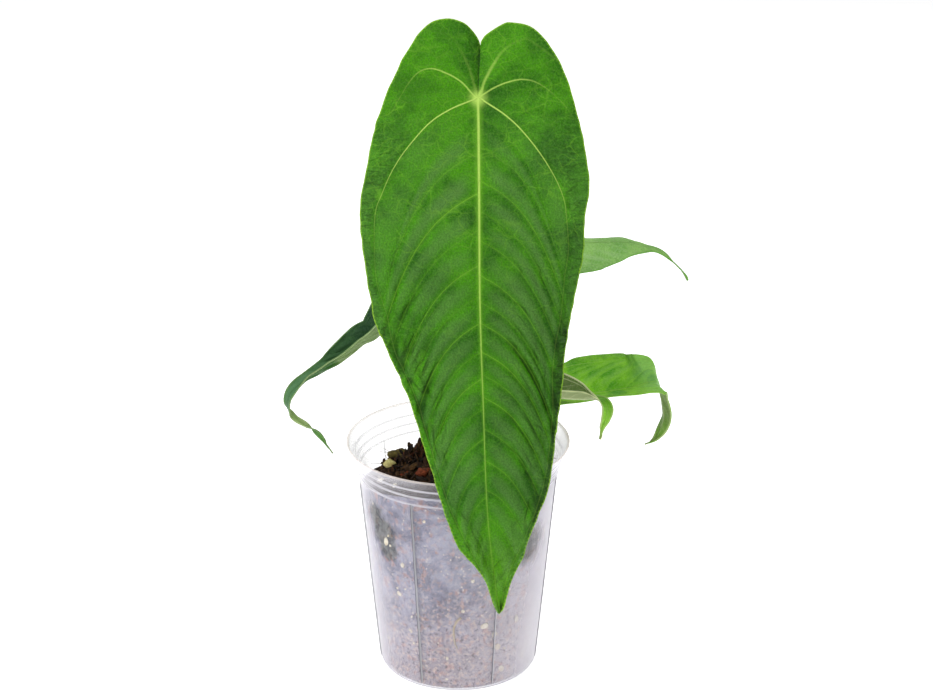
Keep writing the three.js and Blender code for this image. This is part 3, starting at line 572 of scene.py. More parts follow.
def underside_material(name, leaf, rib_width, base, vein, tips=(), keel=None):
    """The lower face of a blade: paler and duller, its veins standing proud. Keel is (half width, tint)."""
    material, w, shader = new_material(name, Roughness=0.5, Specular_IOR_Level=0.3)
    flat = w.attribute("flat")
    veins = w.group(VEINS, Flat=flat, Veins=w.attribute("veins"), Rows=w.attribute("rows"),
                    Length=leaf.midrib.length, Rib_Width=rib_width)
    skin = w.group(SKIN, Flat=flat)
    darker = dimmed(base, 0.55)
    tone = w.layered(base, (skin["Fleck"], 0.55, darker), (skin["Patch"], 0.25, darker))
    if keel:
        width, tint = keel
        reach = w.math("ABSOLUTE", w.parts(flat)[1])
        tone = w.mix(w.eased(reach, width - 0.6, width + 0.6, 0.7, 0.0), tone, tint)
        tone = w.mix(band_mask(w, w.minus(reach, width), 0.4, 0.3), tone, vein)
    tone = toward_tip(w, w.minus(leaf.midrib.length, w.parts(flat)[0]), tone, tips)
    lines = w.larger(veins["Side"], veins["Main"])
    tone = w.layered(tone, (veins["Net"], 0.3, vein), (lines, 0.6, vein), (veins["Rib"], 0.85, vein),
                     (veins["Edge"], 0.95, vein))
    w.feed(shader["Base Color"], tone)
    add_bump(w, shader, w.summed((skin["Grain"], -0.12), (veins["Rib"], 0.6), (lines, 0.3)), MM)
    return material


# Blades

class Midrib:
    """The line down the middle of a blade, with the way its upper face looks, its fold and its curl.

    The attach point is the second point of the line, and distances along the blade start there.
    """

    ROWS = 60
    CURL_STEPS = 16

    def __init__(self, points, facing, fold, curl):
        shares = np.linspace(0, 1, self.ROWS * (len(points) - 1) + 1)
        self.place = smooth_line(points, shares)
        self.looks = smooth_line(facing, shares)
        self.bend = smooth_line(np.stack([fold, curl], 1), shares)
        self.direction = unit(np.gradient(self.place, axis=0))
        steps = np.linalg.norm(np.diff(self.place, axis=0), axis=1)
        self.run = np.concatenate([[0], np.cumsum(steps)])
        self.run -= self.run[self.ROWS]
        self.length = self.run[-1]

    def at(self, distance, table):
        return np.stack([np.interp(distance, self.run, column) for column in table.T], -1)

    def frame(self, distance):
        direction = unit(self.at(distance, self.direction))
        looks = self.at(distance, self.looks)
        normal = unit(looks - direction * np.sum(looks * direction, -1, keepdims=True))
        return self.at(distance, self.place), normal, np.cross(normal, direction)

    def skin(self, along, width, lift, curl_width):
        """Points of the blade at distances along and across it, lifted from its smooth surface."""
        place, normal, across = self.frame(along)
        fold, curl = self.at(along, self.bend).T
        reach = np.abs(width)
        out = np.zeros_like(reach)
        rise = np.zeros_like(reach)
        for i in range(self.CURL_STEPS):
            u = (i + 0.5) / self.CURL_STEPS * reach
            angle = np.radians(fold * np.minimum(u / FOLD_WIDTH, 1) + curl * (u / curl_width) ** 2)
            out += np.cos(angle) * reach / self.CURL_STEPS
            rise += np.sin(angle) * reach / self.CURL_STEPS
        out = out - np.sin(angle) * lift
        rise = rise + np.cos(angle) * lift
        side = np.where(width < 0, -1.0, 1.0)
        return place + across * (side * out)[:, None] + normal * rise[:, None]


def side_outline(length, lobe, width, from_tip):
    """Half outline of a narrow blade as (along, width), from its notch round the lobe to its tip."""
    base = [(-lobe * 0.7, 0.9), (-lobe, width * 0.28), (-lobe * 0.72, width * 0.68),
            (0, width * 0.95), (length * 0.16, width)]
    return base + [(length - distance, half) for distance, half in from_tip] + [(length, 0)]


# Half outlines of the big blade as (along, width), from the notch between the lobes to the tip
FRONT_LEFT = [
    (-23, -2.8), (-29.5, -1.4), (-34.2, 1.8), (-37.6, 6.5), (-39.5, 14), (-36.5, 23.5), (-23.7, 34.1),
    (0.2, 45.6), (25, 52.7), (60, 57.8), (100, 52.8), (117, 47.8), (146, 36), (164, 31), (200, 21.6),
    (219, 16.8), (231.4, 9.4), (237.4, 6.3), (242.4, 4.3), (249.3, 3.2), (254, 2.4), (258.6, 1.2), (260.4, 0)]
FRONT_RIGHT = [
    (-27.5, 2.4), (-31, 5.2), (-35.6, 13.2), (-36.4, 18), (-32.8, 28.6), (-20.6, 37.8), (-3.2, 44.9),
    (19.7, 50.6), (43, 53.2), (60.5, 51.1), (78, 50.1), (113.5, 43.2), (148.6, 37.7), (184.3, 32.5),
    (203, 26.9), (222.4, 18.6), (230.4, 15.4), (235.4, 12.5), (240.4, 9.6), (245.4, 7.2), (251.4, 4.8),
    (256.4, 2.8), (259.2, 1.2), (260.4, 0)]

# The main side vein of each half as (along, across): it leaves the attach point and follows the margin
FRONT_MAIN_LEFT = [
    (-30, -45), (-12, -17), (0, 1), (1.5, 4), (6, 14), (13, 24), (26, 35), (37, 42), (48, 47), (56, 50),
    (70, 51), (89, 50), (105, 45), (122, 42), (137, 35.5), (150, 31), (164, 27.5), (200, 18.4), (232, 7),
    (262, 0)]
FRONT_MAIN_RIGHT = [
    (-30, -45), (-12, -17), (0, 1), (2, 3.5), (9, 13), (17, 21), (29, 30), (41, 37), (51, 41), (58, 42),
    (74, 43), (88, 41), (108, 39), (122, 36), (136, 34), (150, 33.8), (163, 32.8), (184, 29.6), (203, 24.4),
    (222, 16), (241, 6), (262, 0)]

# The lobe vein and the inner lobe vein of each half as (across, along)
FRONT_LOBE_LEFT = [
    (0, 0), (2, -1.5), (8, -8), (15, -12.5), (23, -15), (30, -12), (37, -2), (48, 20), (70, 70)]
FRONT_LOBE_RIGHT = [(0, 0), (2, -1.3), (8, -4.5), (15, -7), (22, -8), (29, -6), (37, 0), (48, 14), (70, 60)]
FRONT_INNER_LEFT = [(0, -1), (1, -4), (4, -15), (8, -24), (12, -30), (19, -33), (30, -30), (70, 10)]
FRONT_INNER_RIGHT = [(0, -1), (2, -4), (4, -9), (9, -17), (14, -23), (22, -27), (30, -24), (70, 10)]

# Side veins as (where they leave the midrib, how strongly they show)
FRONT_SIDE_LEFT = [
    (8, 0.15), (27, 0.35), (47, 0.95), (65, 0.25), (82, 0.6), (97, 0.2), (110, 0.6), (124, 0.25), (137, 0.6),
    (152, 0.25), (167, 0.45), (182, 0.3), (197, 0.35), (212, 0.25), (226, 0.2)]
FRONT_SIDE_RIGHT = [
    (10, 0.15), (24, 0.2), (41, 0.45), (56, 0.2), (70, 0.3), (87, 0.5), (100, 0.25), (110, 0.5), (124, 0.6),
    (135, 0.25), (146, 0.55), (162, 0.3), (178, 0.4), (193, 0.3), (208, 0.3), (230, 0.2)]


def line_field(table, x, step=0.5):
    """Height of a smooth curve above x, from (x, height) pairs, and its slope there."""
    curve = smooth_line(table, np.linspace(0, 1, 900))
    order = np.argsort(curve[:, 0], kind="stable")
    height = np.interp(x, curve[order, 0], curve[order, 1])
    ahead = np.interp(x + step, curve[order, 0], curve[order, 1])
    return height, (ahead - height) / step


def distance_from(table, x, height):
    """Signed distance of points above a curve, in mm."""
    line, slope = line_field(table, x)
    return (height - line) / np.sqrt(1 + slope ** 2)


class Half:
    """One half of a blade: its margin, its veins, and how its skin, painted sheen and shade vary by place.

    Sign is -1 for the half on the left and 1 for the one on the right. The margin is (along, across)
    pairs, and sides are the side veins as (where they leave the midrib, how strongly they show).
    """

    def __init__(self, sign, outline, main, lobe, inner, sides, wave_shift, dullness=0.4, dark_edge=0.0,
                 fold_back=0.1, lower_shade=0.0, fresh_base=0.0, fresh_strip=0.0):
        self.sign = sign
        self.dullness, self.dark_edge, self.fold_back = dullness, dark_edge, fold_back
        self.lower_shade, self.fresh_base, self.fresh_strip = lower_shade, fresh_base, fresh_strip
        self.outline = outline
        self.main, self.lobe, self.inner = main, lobe, inner
        self.roots = np.array([root for root, _ in sides], float)
        self.strengths = np.array([strength for _, strength in sides], float)
        self.wave_shift = wave_shift

    def fields(self, along, reach):
        """Signed distances to the three main veins, and the count, gap and strength of the side veins."""
        main = distance_from(self.main, along, reach)
        lobe = distance_from(self.lobe, reach, along)
        inner = distance_from(self.inner, reach, along)

        passed = np.zeros_like(along)
        strength = np.zeros_like(along)
        gap = np.full_like(along, 14.0)
        lines = []
        for root in self.roots:
            span = max(line_field(self.main, np.array([root + 25.0]))[0][0], 4.0)
            lines.append(root + reach * (0.55 + np.minimum(reach / span, 1.3) ** 2))
        lines = np.array(lines)
        for i in range(len(lines)):
            low = lines[i - 1] if i else np.full_like(along, -60.0)
            inside = (along >= low) & (along < lines[i])
            share = (along - low) / (lines[i] - low)
            passed = np.where(inside, i - 1 + share, passed)
            before = self.strengths[i - 1] if i else 0.0
            strength = np.where(inside, np.where(share < 0.5, before, self.strengths[i]), strength)
            gap = np.where(inside, (lines[i] - low) * 0.8, gap)
        beyond = along >= lines[-1]
        passed = np.where(beyond, len(lines) - 1 + (along - lines[-1]) / 20.0, passed)
        strength = np.where(beyond, self.strengths[-1] * (along - lines[-1] < 10), strength)
        return main, lobe, inner, passed, gap, strength

    def skin_tones(self, a, b, main, passed):
        """How much painted sheen and painted shade each point gets, and how fresh its green is."""
        spots = np.stack([a, b * self.sign, np.zeros(len(a))], -1)
        # Painted sheen of the velvet: on the pillows between side veins and on the strip outside the main
        # side vein, less on the fresh strip low down.
        between = np.clip(0.5 - 0.5 * np.cos(2 * math.pi * (passed - 0.2)), 0, 1) * eased(a, 0, 40)
        patches = np.clip(0.6 + rough(spots, 0.03, 2, 31.0), 0, 1.2)
        low_down = self.fresh_strip * eased(a, 100, 150)
        dull = between * eased(b, 2, 10) * eased(-main, -2, 3) * patches
        dull = dull + 0.5 * eased(main, 0, 3) * eased(a, -10, 60) * (1 - low_down)
        green_strip = low_down * eased(main, 0.3, 1.5)
        # Painted shade: on the edge strip that curls back, over the lower part of the half, and lifted on the
        # fresh strip.
        edge_shade_strip = eased(main, -0.5, 1.5) * eased(a, 90, 150) * (1 - eased(a, 200, 228)) * self.dark_edge
        dark = edge_shade_strip + self.lower_shade * eased(a, 30, 110) * (1 - eased(a, 195, 225)) * eased(b, 1, 6)
        fresh = self.fresh_base * eased(-a, -55, 0) * eased(b, 3, 14) + green_strip
        return np.clip(dull * self.dullness, 0, 1), dark - 0.4 * green_strip, fresh


class Leaf:
    """A blade's measures: its midrib, its two halves and its relief."""

    def __init__(self, midrib, halves, curl_width, sweep, bunching, pillow, groove, wave, waves, dip=0.0,
                 wrinkles=0.0, ripple=0.0):
        self.midrib, self.halves = midrib, halves
        self.curl_width, self.sweep, self.bunching = curl_width, sweep, bunching
        self.pillow, self.groove, self.wave, self.waves = pillow, groove, wave, waves
        self.dip, self.wrinkles, self.ripple = dip, wrinkles, ripple

    def fine_relief(self, sign, a, b, main, passed, gap, strength):
        """Small lumps and creases of the skin in mm: between side veins, along the main vein, at the edge."""
        ease = eased(a, -4, 20)
        lower = eased(a, 40, 130)
        span = np.maximum(b - main, 1)
        inside = np.clip(b / span, 0, 1.3)
        arch = np.sin(math.pi * passed) ** 2 * np.sin(math.pi * np.clip(inside, 0, 1)) ** 0.7
        fine = self.pillow * ease * (0.35 + 0.65 * lower) * arch
        from_vein = (passed - np.rint(passed)) * gap
        sunk = np.exp(-((from_vein / 1.2) ** 2)) * strength * eased(b, 2, 10) * ease
        fine = fine - 0.4 * self.pillow * sunk * (0.4 + 0.6 * lower)
        crease = np.exp(-((main / 1.3) ** 2)) * eased(a, 40, 75)
        fine = fine - 0.4 * self.pillow * crease
        if self.wrinkles:
            spots = np.stack([a, b * sign, np.zeros(len(a))], -1)
            row_spots = np.stack([passed * 13, b * sign * 0.4, np.zeros(len(a))], -1)
            zone = eased(a, 75, 125) * eased(inside, 0.3, 0.75) * eased(1.3 - inside, 0.02, 0.2)
            folds = rough(row_spots, 0.075, 2, 3.0 + sign)
            small_folds = rough(row_spots, 0.17, 2, 6.0 + sign)
            fine = fine + self.wrinkles * zone * (1.5 * folds + 0.6 * small_folds)
            lumps = rough(spots, 0.11, 3, 11.0 - sign)
            fine = fine + self.wrinkles * 0.5 * (0.25 + 0.75 * lower) * lumps * eased(b, 2, 12)
            pucker = np.sin(a * 2 * math.pi / 9.0 + 5.0 * rough(spots, 0.03, 2, 20.0))
            fine = fine + self.wrinkles * 0.3 * pucker * eased(main, 0.5, 4) * eased(a, -30, 10)
        return fine


def margin_distance(a, b, margin, block=4000):
    """Distance in the flat from each point to the margin, worked out a block of points at a time."""
    away = np.zeros(len(a))
    for start in range(0, len(a), block):
        part = slice(start, start + block)
        gap_a = a[part, None] - margin[None, ::2, 0]
        gap_b = b[part, None] - margin[None, ::2, 1]
        away[part] = np.sqrt((gap_a ** 2 + gap_b ** 2).min(1))
    return away


def blade_bmesh(leaf, rays, steps):
    """The upper sheet of a blade. Rays run from the midrib, or the attach point, out to the margin.

    In a half, a is along the blade and b across it, t is the share of the way out to the margin, and
    the fan is the rays that leave the attach point.
    """
    shares = 1 - (1 - np.linspace(0, 1, rays + 1)) ** leaf.bunching
    margins = [evenly(half.outline, shares) for half in leaf.halves]
    mean = sum(margin[:, 0] - leaf.sweep * margin[:, 1] for margin in margins) / 2
    for half, margin in zip(leaf.halves, margins):
        run = np.linspace(0, len(margin), len(margin)) * 1.1
        ripple = rough(np.stack([run, run * 0 + half.sign * 7, run * 0], -1), 0.1, 2)
        margin[:, 1] += leaf.ripple * ripple * eased(margin[:, 1], 4, 12)
        margin[:, 1] = np.where(margin[:, 0] > 0, np.maximum(margin[:, 1], 0), margin[:, 1])
    roots = np.maximum.accumulate(np.maximum(mean, 0))
    roots[-1] = leaf.midrib.length
    fan_end = np.argmax(roots > 0) - 1
    count = (rays + 1) * (2 * steps + 1)
    values = {name: np.zeros((count, 3)) for name in ("flat", "veins", "rows")}
    values.update({name: np.zeros(count) for name in ("tone", "shade", "relief", "fresh")})

    def shape(u, v):
        k = np.rint(v * rays).astype(int)
        j = np.rint((u * 2 - 1) * steps) / steps
        across = np.abs(j)
        lift = np.zeros(len(k))
        for half, margin in zip(leaf.halves, margins):
            pick = (j < 0) if half.sign < 0 else (j >= 0)
            n, t = k[pick], across[pick]
            a = roots[n] + (margin[n, 0] - roots[n]) * t
            b = margin[n, 1] * t
            main, lobe, inner, passed, gap, strength = half.fields(a, b)
            fan = np.where(n < fan_end, 1 - n / fan_end, 0)
            fine = leaf.fine_relief(half.sign, a, b, main, passed, gap, strength)
            back = 1 - eased(a, -4, 20)
            lobes = np.sin(math.pi * np.clip(fan * 2.0, 0, 2)) ** 2 * np.sin(math.pi * t)
            form = 0.8 * leaf.pillow * lobes * back - leaf.groove * np.exp(-((b / 3) ** 2))
            wave = np.sin(2 * math.pi * (n / rays * leaf.waves + half.wave_shift)) * leaf.wave
            form = form + wave * t ** 3
            form = form - half.fold_back * np.maximum(main, 0) * eased(a, 60, 120)
            tucked = np.zeros(len(a))
            if half.sign < 0 and leaf.dip:
                tucked = np.clip((fan - 0.86) / 0.14, 0, 1)
                form = form + leaf.dip * t * tucked
            lift[pick] = form + fine
            away = np.where(t > 0.999, 0, margin_distance(a, b, margin))
            values["flat"][pick] = np.stack([a, b * half.sign, away], -1)
            values["veins"][pick] = np.stack([main, lobe, inner], -1)
            values["rows"][pick] = np.stack([passed, gap, strength], -1)
            values["relief"][pick] = fine
            dull, dark, fresh = half.skin_tones(a, b, main, passed)
            # The tone attribute holds the painted sheen.
            values["tone"][pick] = dull
            values["fresh"][pick] = fresh
            # The shade attribute is painted shade, most on the lobe tucked under the other at the notch.
            values["shade"][pick] = np.clip(dark + 0.75 * tucked * t ** 0.7, -0.4, 0.8)
        return leaf.midrib.skin(values["flat"][:, 0], values["flat"][:, 1], lift, leaf.curl_width)

    bm = shaped_grid(2 * steps, rays, shape)
    for name, table in values.items():
        kind = bm.verts.layers.float_vector if table.ndim == 2 else bm.verts.layers.float
        layer = kind.new(name)
        for vert, value in zip(bm.verts, table.tolist()):
            vert[layer] = value
    bmesh.ops.remove_doubles(bm, verts=bm.verts, dist=CLOSE)
    return bm


def add_blade(name, leaf, rays, steps, upper, under, rim, slot):
    """A blade with its thickness, its upper face turned the way that the midrib looks."""
    bm = blade_bmesh(leaf, rays, steps)
    place, normal, _ = leaf.midrib.frame(np.array([leaf.midrib.length * 0.4]))
    middle = Vector(place[0] * MM)
    nearest = min(bm.faces, key=lambda face: (face.calc_center_median() - middle).length)
    nearest.normal_update()
    if nearest.normal.dot(Vector(normal[0])) < 0:
        bmesh.ops.reverse_faces(bm, faces=bm.faces)
    piece = as_object(name, bm, [upper, under, rim])
    skin = piece.modifiers.new("thickness", "SOLIDIFY")
    skin.thickness = BLADE_THICKNESS * MM
    skin.offset = -1
    skin.material_offset = 1
    skin.material_offset_rim = 2
    place_on(piece, name, slot=slot)


def rim_material(name, light, dark):
    """The thin cut edge of a blade."""
    material, w, shader = new_material(name, Roughness=0.5, Specular_IOR_Level=0.3)
    spots = w.noise(w.place_in_mm(), 0.15, 2.0)
    w.feed(shader["Base Color"], w.mix(spots, light, dark))
    return material


FRONT = Leaf(
    Midrib(
        [(8, -8, 366), (9.9, -28, 321.7), (10.3, -50, 281.6), (10.6, -70, 230.4), (12.1, -82, 185.4),
         (14.6, -90, 125), (20.3, -92, 73.4)],
        [(0, -1, 0.45), (0, -1, 0.5), (0, -1, 0.42), (0, -1, 0.3), (0, -1, 0.2), (0, -1, 0.1), (0, -1, 0)],
        [6, 6, 6, 6, 6, 6, 6],
        [-20, -20, -22, -28, -30, -24, -10]),
    [Half(-1, FRONT_LEFT, FRONT_MAIN_LEFT, FRONT_LOBE_LEFT, FRONT_INNER_LEFT, FRONT_SIDE_LEFT, 0.0,
          dullness=0.75, dark_edge=0.1, fold_back=0.2, fresh_base=0.45, fresh_strip=0.8),
     Half(1, FRONT_RIGHT, FRONT_MAIN_RIGHT, FRONT_LOBE_RIGHT, FRONT_INNER_RIGHT, FRONT_SIDE_RIGHT, 0.4,
          dullness=0.65, dark_edge=0.4, fold_back=0.35, lower_shade=0.17, fresh_base=0.12)],
    curl_width=60, sweep=0.72, bunching=1, pillow=1.4, groove=0.7, wave=0.9, waves=6, dip=-5.0, wrinkles=1.0,
    ripple=0.5)


def side_leaf(points, facing, fold, curl, lobe, width, wave, vein_count, from_tip, right_from_tip=None,
              pillow=0.5, wrinkles=0.0):
    """A narrow blade: lobes at the attach point, then half widths at distances from the tip."""
    midrib = Midrib(points, facing, fold, curl)
    length = midrib.length
    gap = length / (vein_count * 2 + 1)
    sides = [(gap * (i + 0.6), 0.5 if i % 2 else 0.25) for i in range(vein_count * 2)]
    halves = []
    for sign, widths in ((-1, from_tip), (1, right_from_tip or from_tip)):
        outline = side_outline(length, lobe, width, widths)
        main = [(-lobe, -width), (-4, -width * 0.3), (0, 0.5), (3, width * 0.35)]
        main += [(length * 0.16, width * 0.82)]
        main += [(length - distance, half * 0.8) for distance, half in widths] + [(length, 0)]
        arch = [(0, 0), (width * 0.3, -lobe * 0.3), (width * 0.7, -lobe * 0.3), (width, 6), (3 * width, 60)]
        inner = [(0, -1), (width * 0.25, -lobe * 0.6), (width * 0.6, -lobe * 0.8), (3 * width, -lobe * 0.6)]
        halves.append(Half(sign, outline, main, arch, inner, sides, 0.0 if sign < 0 else 0.4))
    return Leaf(midrib, halves, curl_width=width, sweep=0.7, bunching=1.3, pillow=pillow, groove=0.3,
                wave=wave, waves=5, wrinkles=wrinkles)


LEFT = side_leaf(
    points=[(8, 20, 229), (-10, 19, 223), (-26, 20.5, 203), (-42.5, 22, 182), (-51.5, 22, 176.5),
            (-61.7, 20, 168.5), (-69, 18, 164.6), (-75.7, 16, 161.8), (-81.2, 14, 159.3), (-87.2, 12, 155.2),
            (-91.5, 12, 149.5), (-92.5, 12, 143.4), (-89.6, 13, 137.1), (-84.3, 14, 132.8),
            (-77.4, 13, 127.6), (-73.6, 12, 123.3), (-68.8, 11, 116)],
    facing=[(0, -0.2, 1), (0, -0.2, 1), (-0.3, -0.3, 1), (-0.3, -0.34, 0.94), (-0.3, -0.34, 0.94),
            (-0.3, -0.36, 0.93), (-0.3, -0.38, 0.9), (-0.35, -0.42, 0.85), (-0.6, -0.5, 0.65),
            (-0.85, -0.55, 0.2), (-0.9, -0.6, 0), (-0.9, -0.5, -0.3), (-0.6, 0.5, -0.7), (-0.5, 0.6, -0.6),
            (-0.6, -0.6, -0.3), (-0.5, -0.9, -0.2), (-0.5, -0.9, -0.2)],
    fold=[8, 20, 48, 58, 58, 70, 73, 66, 66, 60, 52, 30, 20, 20, 25, 25, 20],
    curl=[-10, -10, -8, 0, 0, 0, 0, 0, 0, 0, 0, 0, 0, 0, 0, 0, 0],
    lobe=16, width=20, wave=0.4, vein_count=6,
    from_tip=[(122, 16.8), (103, 12.2), (92, 10.8), (78, 9.4), (69, 6.0), (60, 4.1), (52, 3.8), (45, 3.2),
              (36, 2.7), (29, 1.8), (22, 1.6), (14.5, 1.9), (7, 1)],
    right_from_tip=[(122, 17.4), (103, 14), (92, 12), (78, 10), (69, 9), (60, 7.6), (52, 4.4), (45, 3),
                    (36, 2.7), (29, 1.8), (22, 1.6), (14.5, 1.9), (7, 1)])

RIGHT_HIGH = side_leaf(
    points=[(9, 33, 233), (27, 33, 231), (47, 32, 230.5), (69.3, 32, 230.2), (77.7, 33, 230.2),
            (85, 34, 229.8), (91.8, 35, 229.2), (99.5, 36, 227.2), (106.7, 36, 225.4), (113.4, 36, 221),
            (121, 36, 213.6), (125, 36, 207.2)],
    facing=[(0, -0.2, 1), (0, -0.25, 1), (0, -0.38, 0.92), (0, -0.41, 0.91), (0, -0.41, 0.91),
            (0, -0.41, 0.91), (0.1, -0.41, 0.9), (0.2, -0.4, 0.9), (0.3, -0.3, 0.9), (0.5, -0.2, 0.8),
            (0.6, -0.1, 0.7), (0.7, 0, 0.6)],
    fold=[-5, -12, -28, -35, -36, -37, -38, -38, -38, -35, -30, -30],
    curl=[-10, -10, -10, -8, -6, -5, 0, 0, 0, 0, 0, 0],
    lobe=16, width=20, wave=0.6, vein_count=5,
    from_tip=[(80, 19.5), (65, 17.2), (56, 15), (49, 12.4), (42, 9.2), (33.8, 5.2), (26, 2.6), (18, 1.5),
              (12, 1.1), (6, 0.8)])

RIGHT_BACK = side_leaf(
    points=[(12, 20, 158), (27, 18, 154), (43, 13.5, 151), (57.9, 10.5, 150.9), (71.1, 10, 151.9),
            (87, 10, 154.4), (95.5, 10, 156), (101.5, 11, 157.8), (106.4, 14, 157.2), (109.4, 16, 153),
            (110.9, 16, 146.6), (112.4, 16, 139.5), (112.6, 16, 133.6), (110.8, 16, 127.1),
            (107.4, 16, 121.5), (102.5, 16, 118.7)],
    facing=[(0, -0.1, 1), (0, -0.15, 1), (0, -0.2, 0.98), (0, -0.2, 0.98), (0, -0.2, 0.98),
            (0, -0.2, 0.98), (0.1, -0.22, 1), (0.25, -0.26, 0.9), (0.45, -0.3, 0.8), (0.9, 0.1, 0.4),
            (0.95, 0.35, 0.1), (0.95, 0.4, 0), (0.95, 0.4, 0), (0.9, 0.4, -0.2), (0.8, 0.4, -0.5),
            (0.6, 0.4, -0.8)],
    fold=[4, 10, 14, 15, 15, 15, 13, 10, 9, 16, 28, 34, 30, 26, 24, 20],
    curl=[-8, -8, -6, -4, -4, -4, -6, -8, -6, 0, 0, 0, 0, 0, 0, 0],
    lobe=16, width=22, wave=0.6, vein_count=5,
    from_tip=[(93, 11), (80, 10.2), (71, 9.8), (62, 9.2), (54, 8.8), (50, 9.4), (47, 10), (44, 10.4),
              (42, 10), (40, 8.6), (37, 6.6), (33, 5.2), (30, 5.4), (24, 5.4), (16, 4.2), (8, 2.2)],
    right_from_tip=[(93, 27), (80, 28.5), (71, 28.5), (62, 28), (58, 26.6), (54, 24), (50, 20.5), (47, 18.5),
                    (44, 16), (42, 12.5), (40, 8.5), (37, 7.6), (33, 9), (28, 9.2), (24, 8.2), (20, 6.4),
                    (16, 4.6), (8, 2.2)])

RIGHT_FRONT = side_leaf(
    points=[(3, -12, 170), (17, -11, 166.5), (31, -9, 161.5), (45.9, -8, 157.6), (55.4, -8, 157),
            (66, -8, 156.4), (72.8, -9, 156.5), (76.4, -10, 155.8), (78.5, -11, 153.6), (79, -12, 150.6),
            (78.1, -12, 145.4), (76.4, -12, 140.3), (75.2, -12, 134.1)],
    facing=[(0, 0.1, 1), (0, 0.3, 1), (0, 0.55, 0.8), (0, 0.7, 0.7), (0, 0.7, 0.7), (0, 0.65, 0.7),
            (0.3, 0.2, 0.9), (0.6, -0.3, 0.8), (0.7, -0.7, 0.4), (0.5, -0.9, 0.2), (0.2, -1, 0),
            (0.1, -1, 0), (0.2, -1, 0)],
    fold=[6, 14, 34, 45, 45, 42, 34, 26, 22, 20, 20, 22, 20],
    curl=[-6, -6, -6, 0, 0, 0, 0, 0, 0, 0, 0, 0, 0],
    lobe=13, width=16, wave=0.4, vein_count=5,
    from_tip=[(75, 19), (62, 18.5), (52, 16.8), (42, 13.4), (34, 9.4), (27, 5.8), (22, 3.8), (17, 3.2),
              (12, 2.5), (6, 1.2)],
    right_from_tip=[(75, 16), (62, 14.5), (52, 12.6), (42, 9.8), (34, 7), (27, 4.8), (22, 3.6), (17, 3.2),
                    (12, 2.5), (6, 1.2)])

LEAVES = {"front": FRONT, "left": LEFT, "right_high": RIGHT_HIGH, "right_back": RIGHT_BACK,
          "right_front": RIGHT_FRONT}

add_blade(
    "blade_front", FRONT, rays=300, steps=70, slot="leaf_green",
    upper=blade_material(
        "front_leaf_upper", FRONT, rib_width=1.9, deep=colour(36, 98, 2), fresh=colour(72, 150, 2),
        dull=colour(90, 138, 62), vein=colour(116, 178, 46), bright=colour(188, 224, 104),
        edge=colour(150, 200, 60), roughness=0.4, tips=[(60, 12, 0.55, colour(98, 168, 14))]),
    under=underside_material(
        "front_leaf_under", FRONT, rib_width=2.4, base=colour(126, 160, 92), vein=colour(160, 186, 116)),
    rim=rim_material("front_leaf_rim", colour(162, 206, 70), colour(120, 174, 46)))
add_blade(
    "blade_left", LEFT, rays=220, steps=24, slot="leaf_dark",
    upper=blade_material(
        "left_leaf_upper", LEFT, rib_width=0.7, deep=colour(28, 62, 36), fresh=colour(52, 90, 50),
        dull=colour(80, 112, 84), vein=colour(76, 118, 66), bright=colour(96, 136, 76),
        edge=colour(110, 146, 84), roughness=0.38, grain=0.4, lines=0.5,
        # The first tint is painted light: lighter toward the tip, away from the shade near the foot.
        tips=[(105, 60, 0.75, colour(96, 142, 94)), (32, 20, 0.9, colour(84, 138, 46))]),
    under=underside_material(
        "left_leaf_under", LEFT, rib_width=0.8, base=colour(122, 156, 80), vein=colour(186, 204, 148),
        # Painted light on the underside: dark green where it turns down into shade, then a painted highlight
        # nearer the tip where it twists up.
        tips=[(80, 73, 0.95, colour(28, 96, 4)), (52, 46, 0.92, colour(172, 210, 118))]),
    rim=rim_material("left_leaf_rim", colour(136, 166, 104), colour(84, 116, 66)))
add_blade(
    "blade_right_high", RIGHT_HIGH, rays=200, steps=26, slot="leaf_pale",
    upper=blade_material(
        # These pale, greyed greens paint a velvet sheen over the upper face.
        "upper_right_leaf_upper", RIGHT_HIGH, rib_width=0.8, deep=colour(124, 182, 88),
        fresh=colour(156, 208, 110), dull=colour(176, 212, 150), vein=colour(156, 208, 112),
        bright=colour(164, 212, 118), edge=colour(112, 174, 70), roughness=0.45, grain=0.5, lines=0.5),
    under=underside_material(
        "upper_right_leaf_under", RIGHT_HIGH, rib_width=1.0, base=colour(132, 162, 98),
        vein=colour(160, 186, 124)),
    rim=rim_material("upper_right_leaf_rim", colour(120, 176, 76), colour(92, 150, 58)))
add_blade(
    "blade_right_back", RIGHT_BACK, rays=200, steps=30, slot="leaf_green",
    upper=blade_material(
        "back_right_leaf_upper", RIGHT_BACK, rib_width=0.9, deep=colour(74, 160, 4),
        fresh=colour(152, 226, 40), dull=colour(150, 204, 100), vein=colour(154, 216, 74),
        bright=colour(180, 228, 104), edge=colour(140, 204, 56), roughness=0.36, grain=0.4, lines=0.7,
        tips=[(62, 46, 0.4, colour(140, 190, 130))]),
    under=underside_material(
        "back_right_leaf_under", RIGHT_BACK, rib_width=1.0, base=colour(124, 156, 78),
        vein=colour(190, 210, 140), tips=[(26, 6, 0.9, colour(136, 196, 62))]),
    rim=rim_material("back_right_leaf_rim", colour(150, 204, 70), colour(110, 170, 46)))
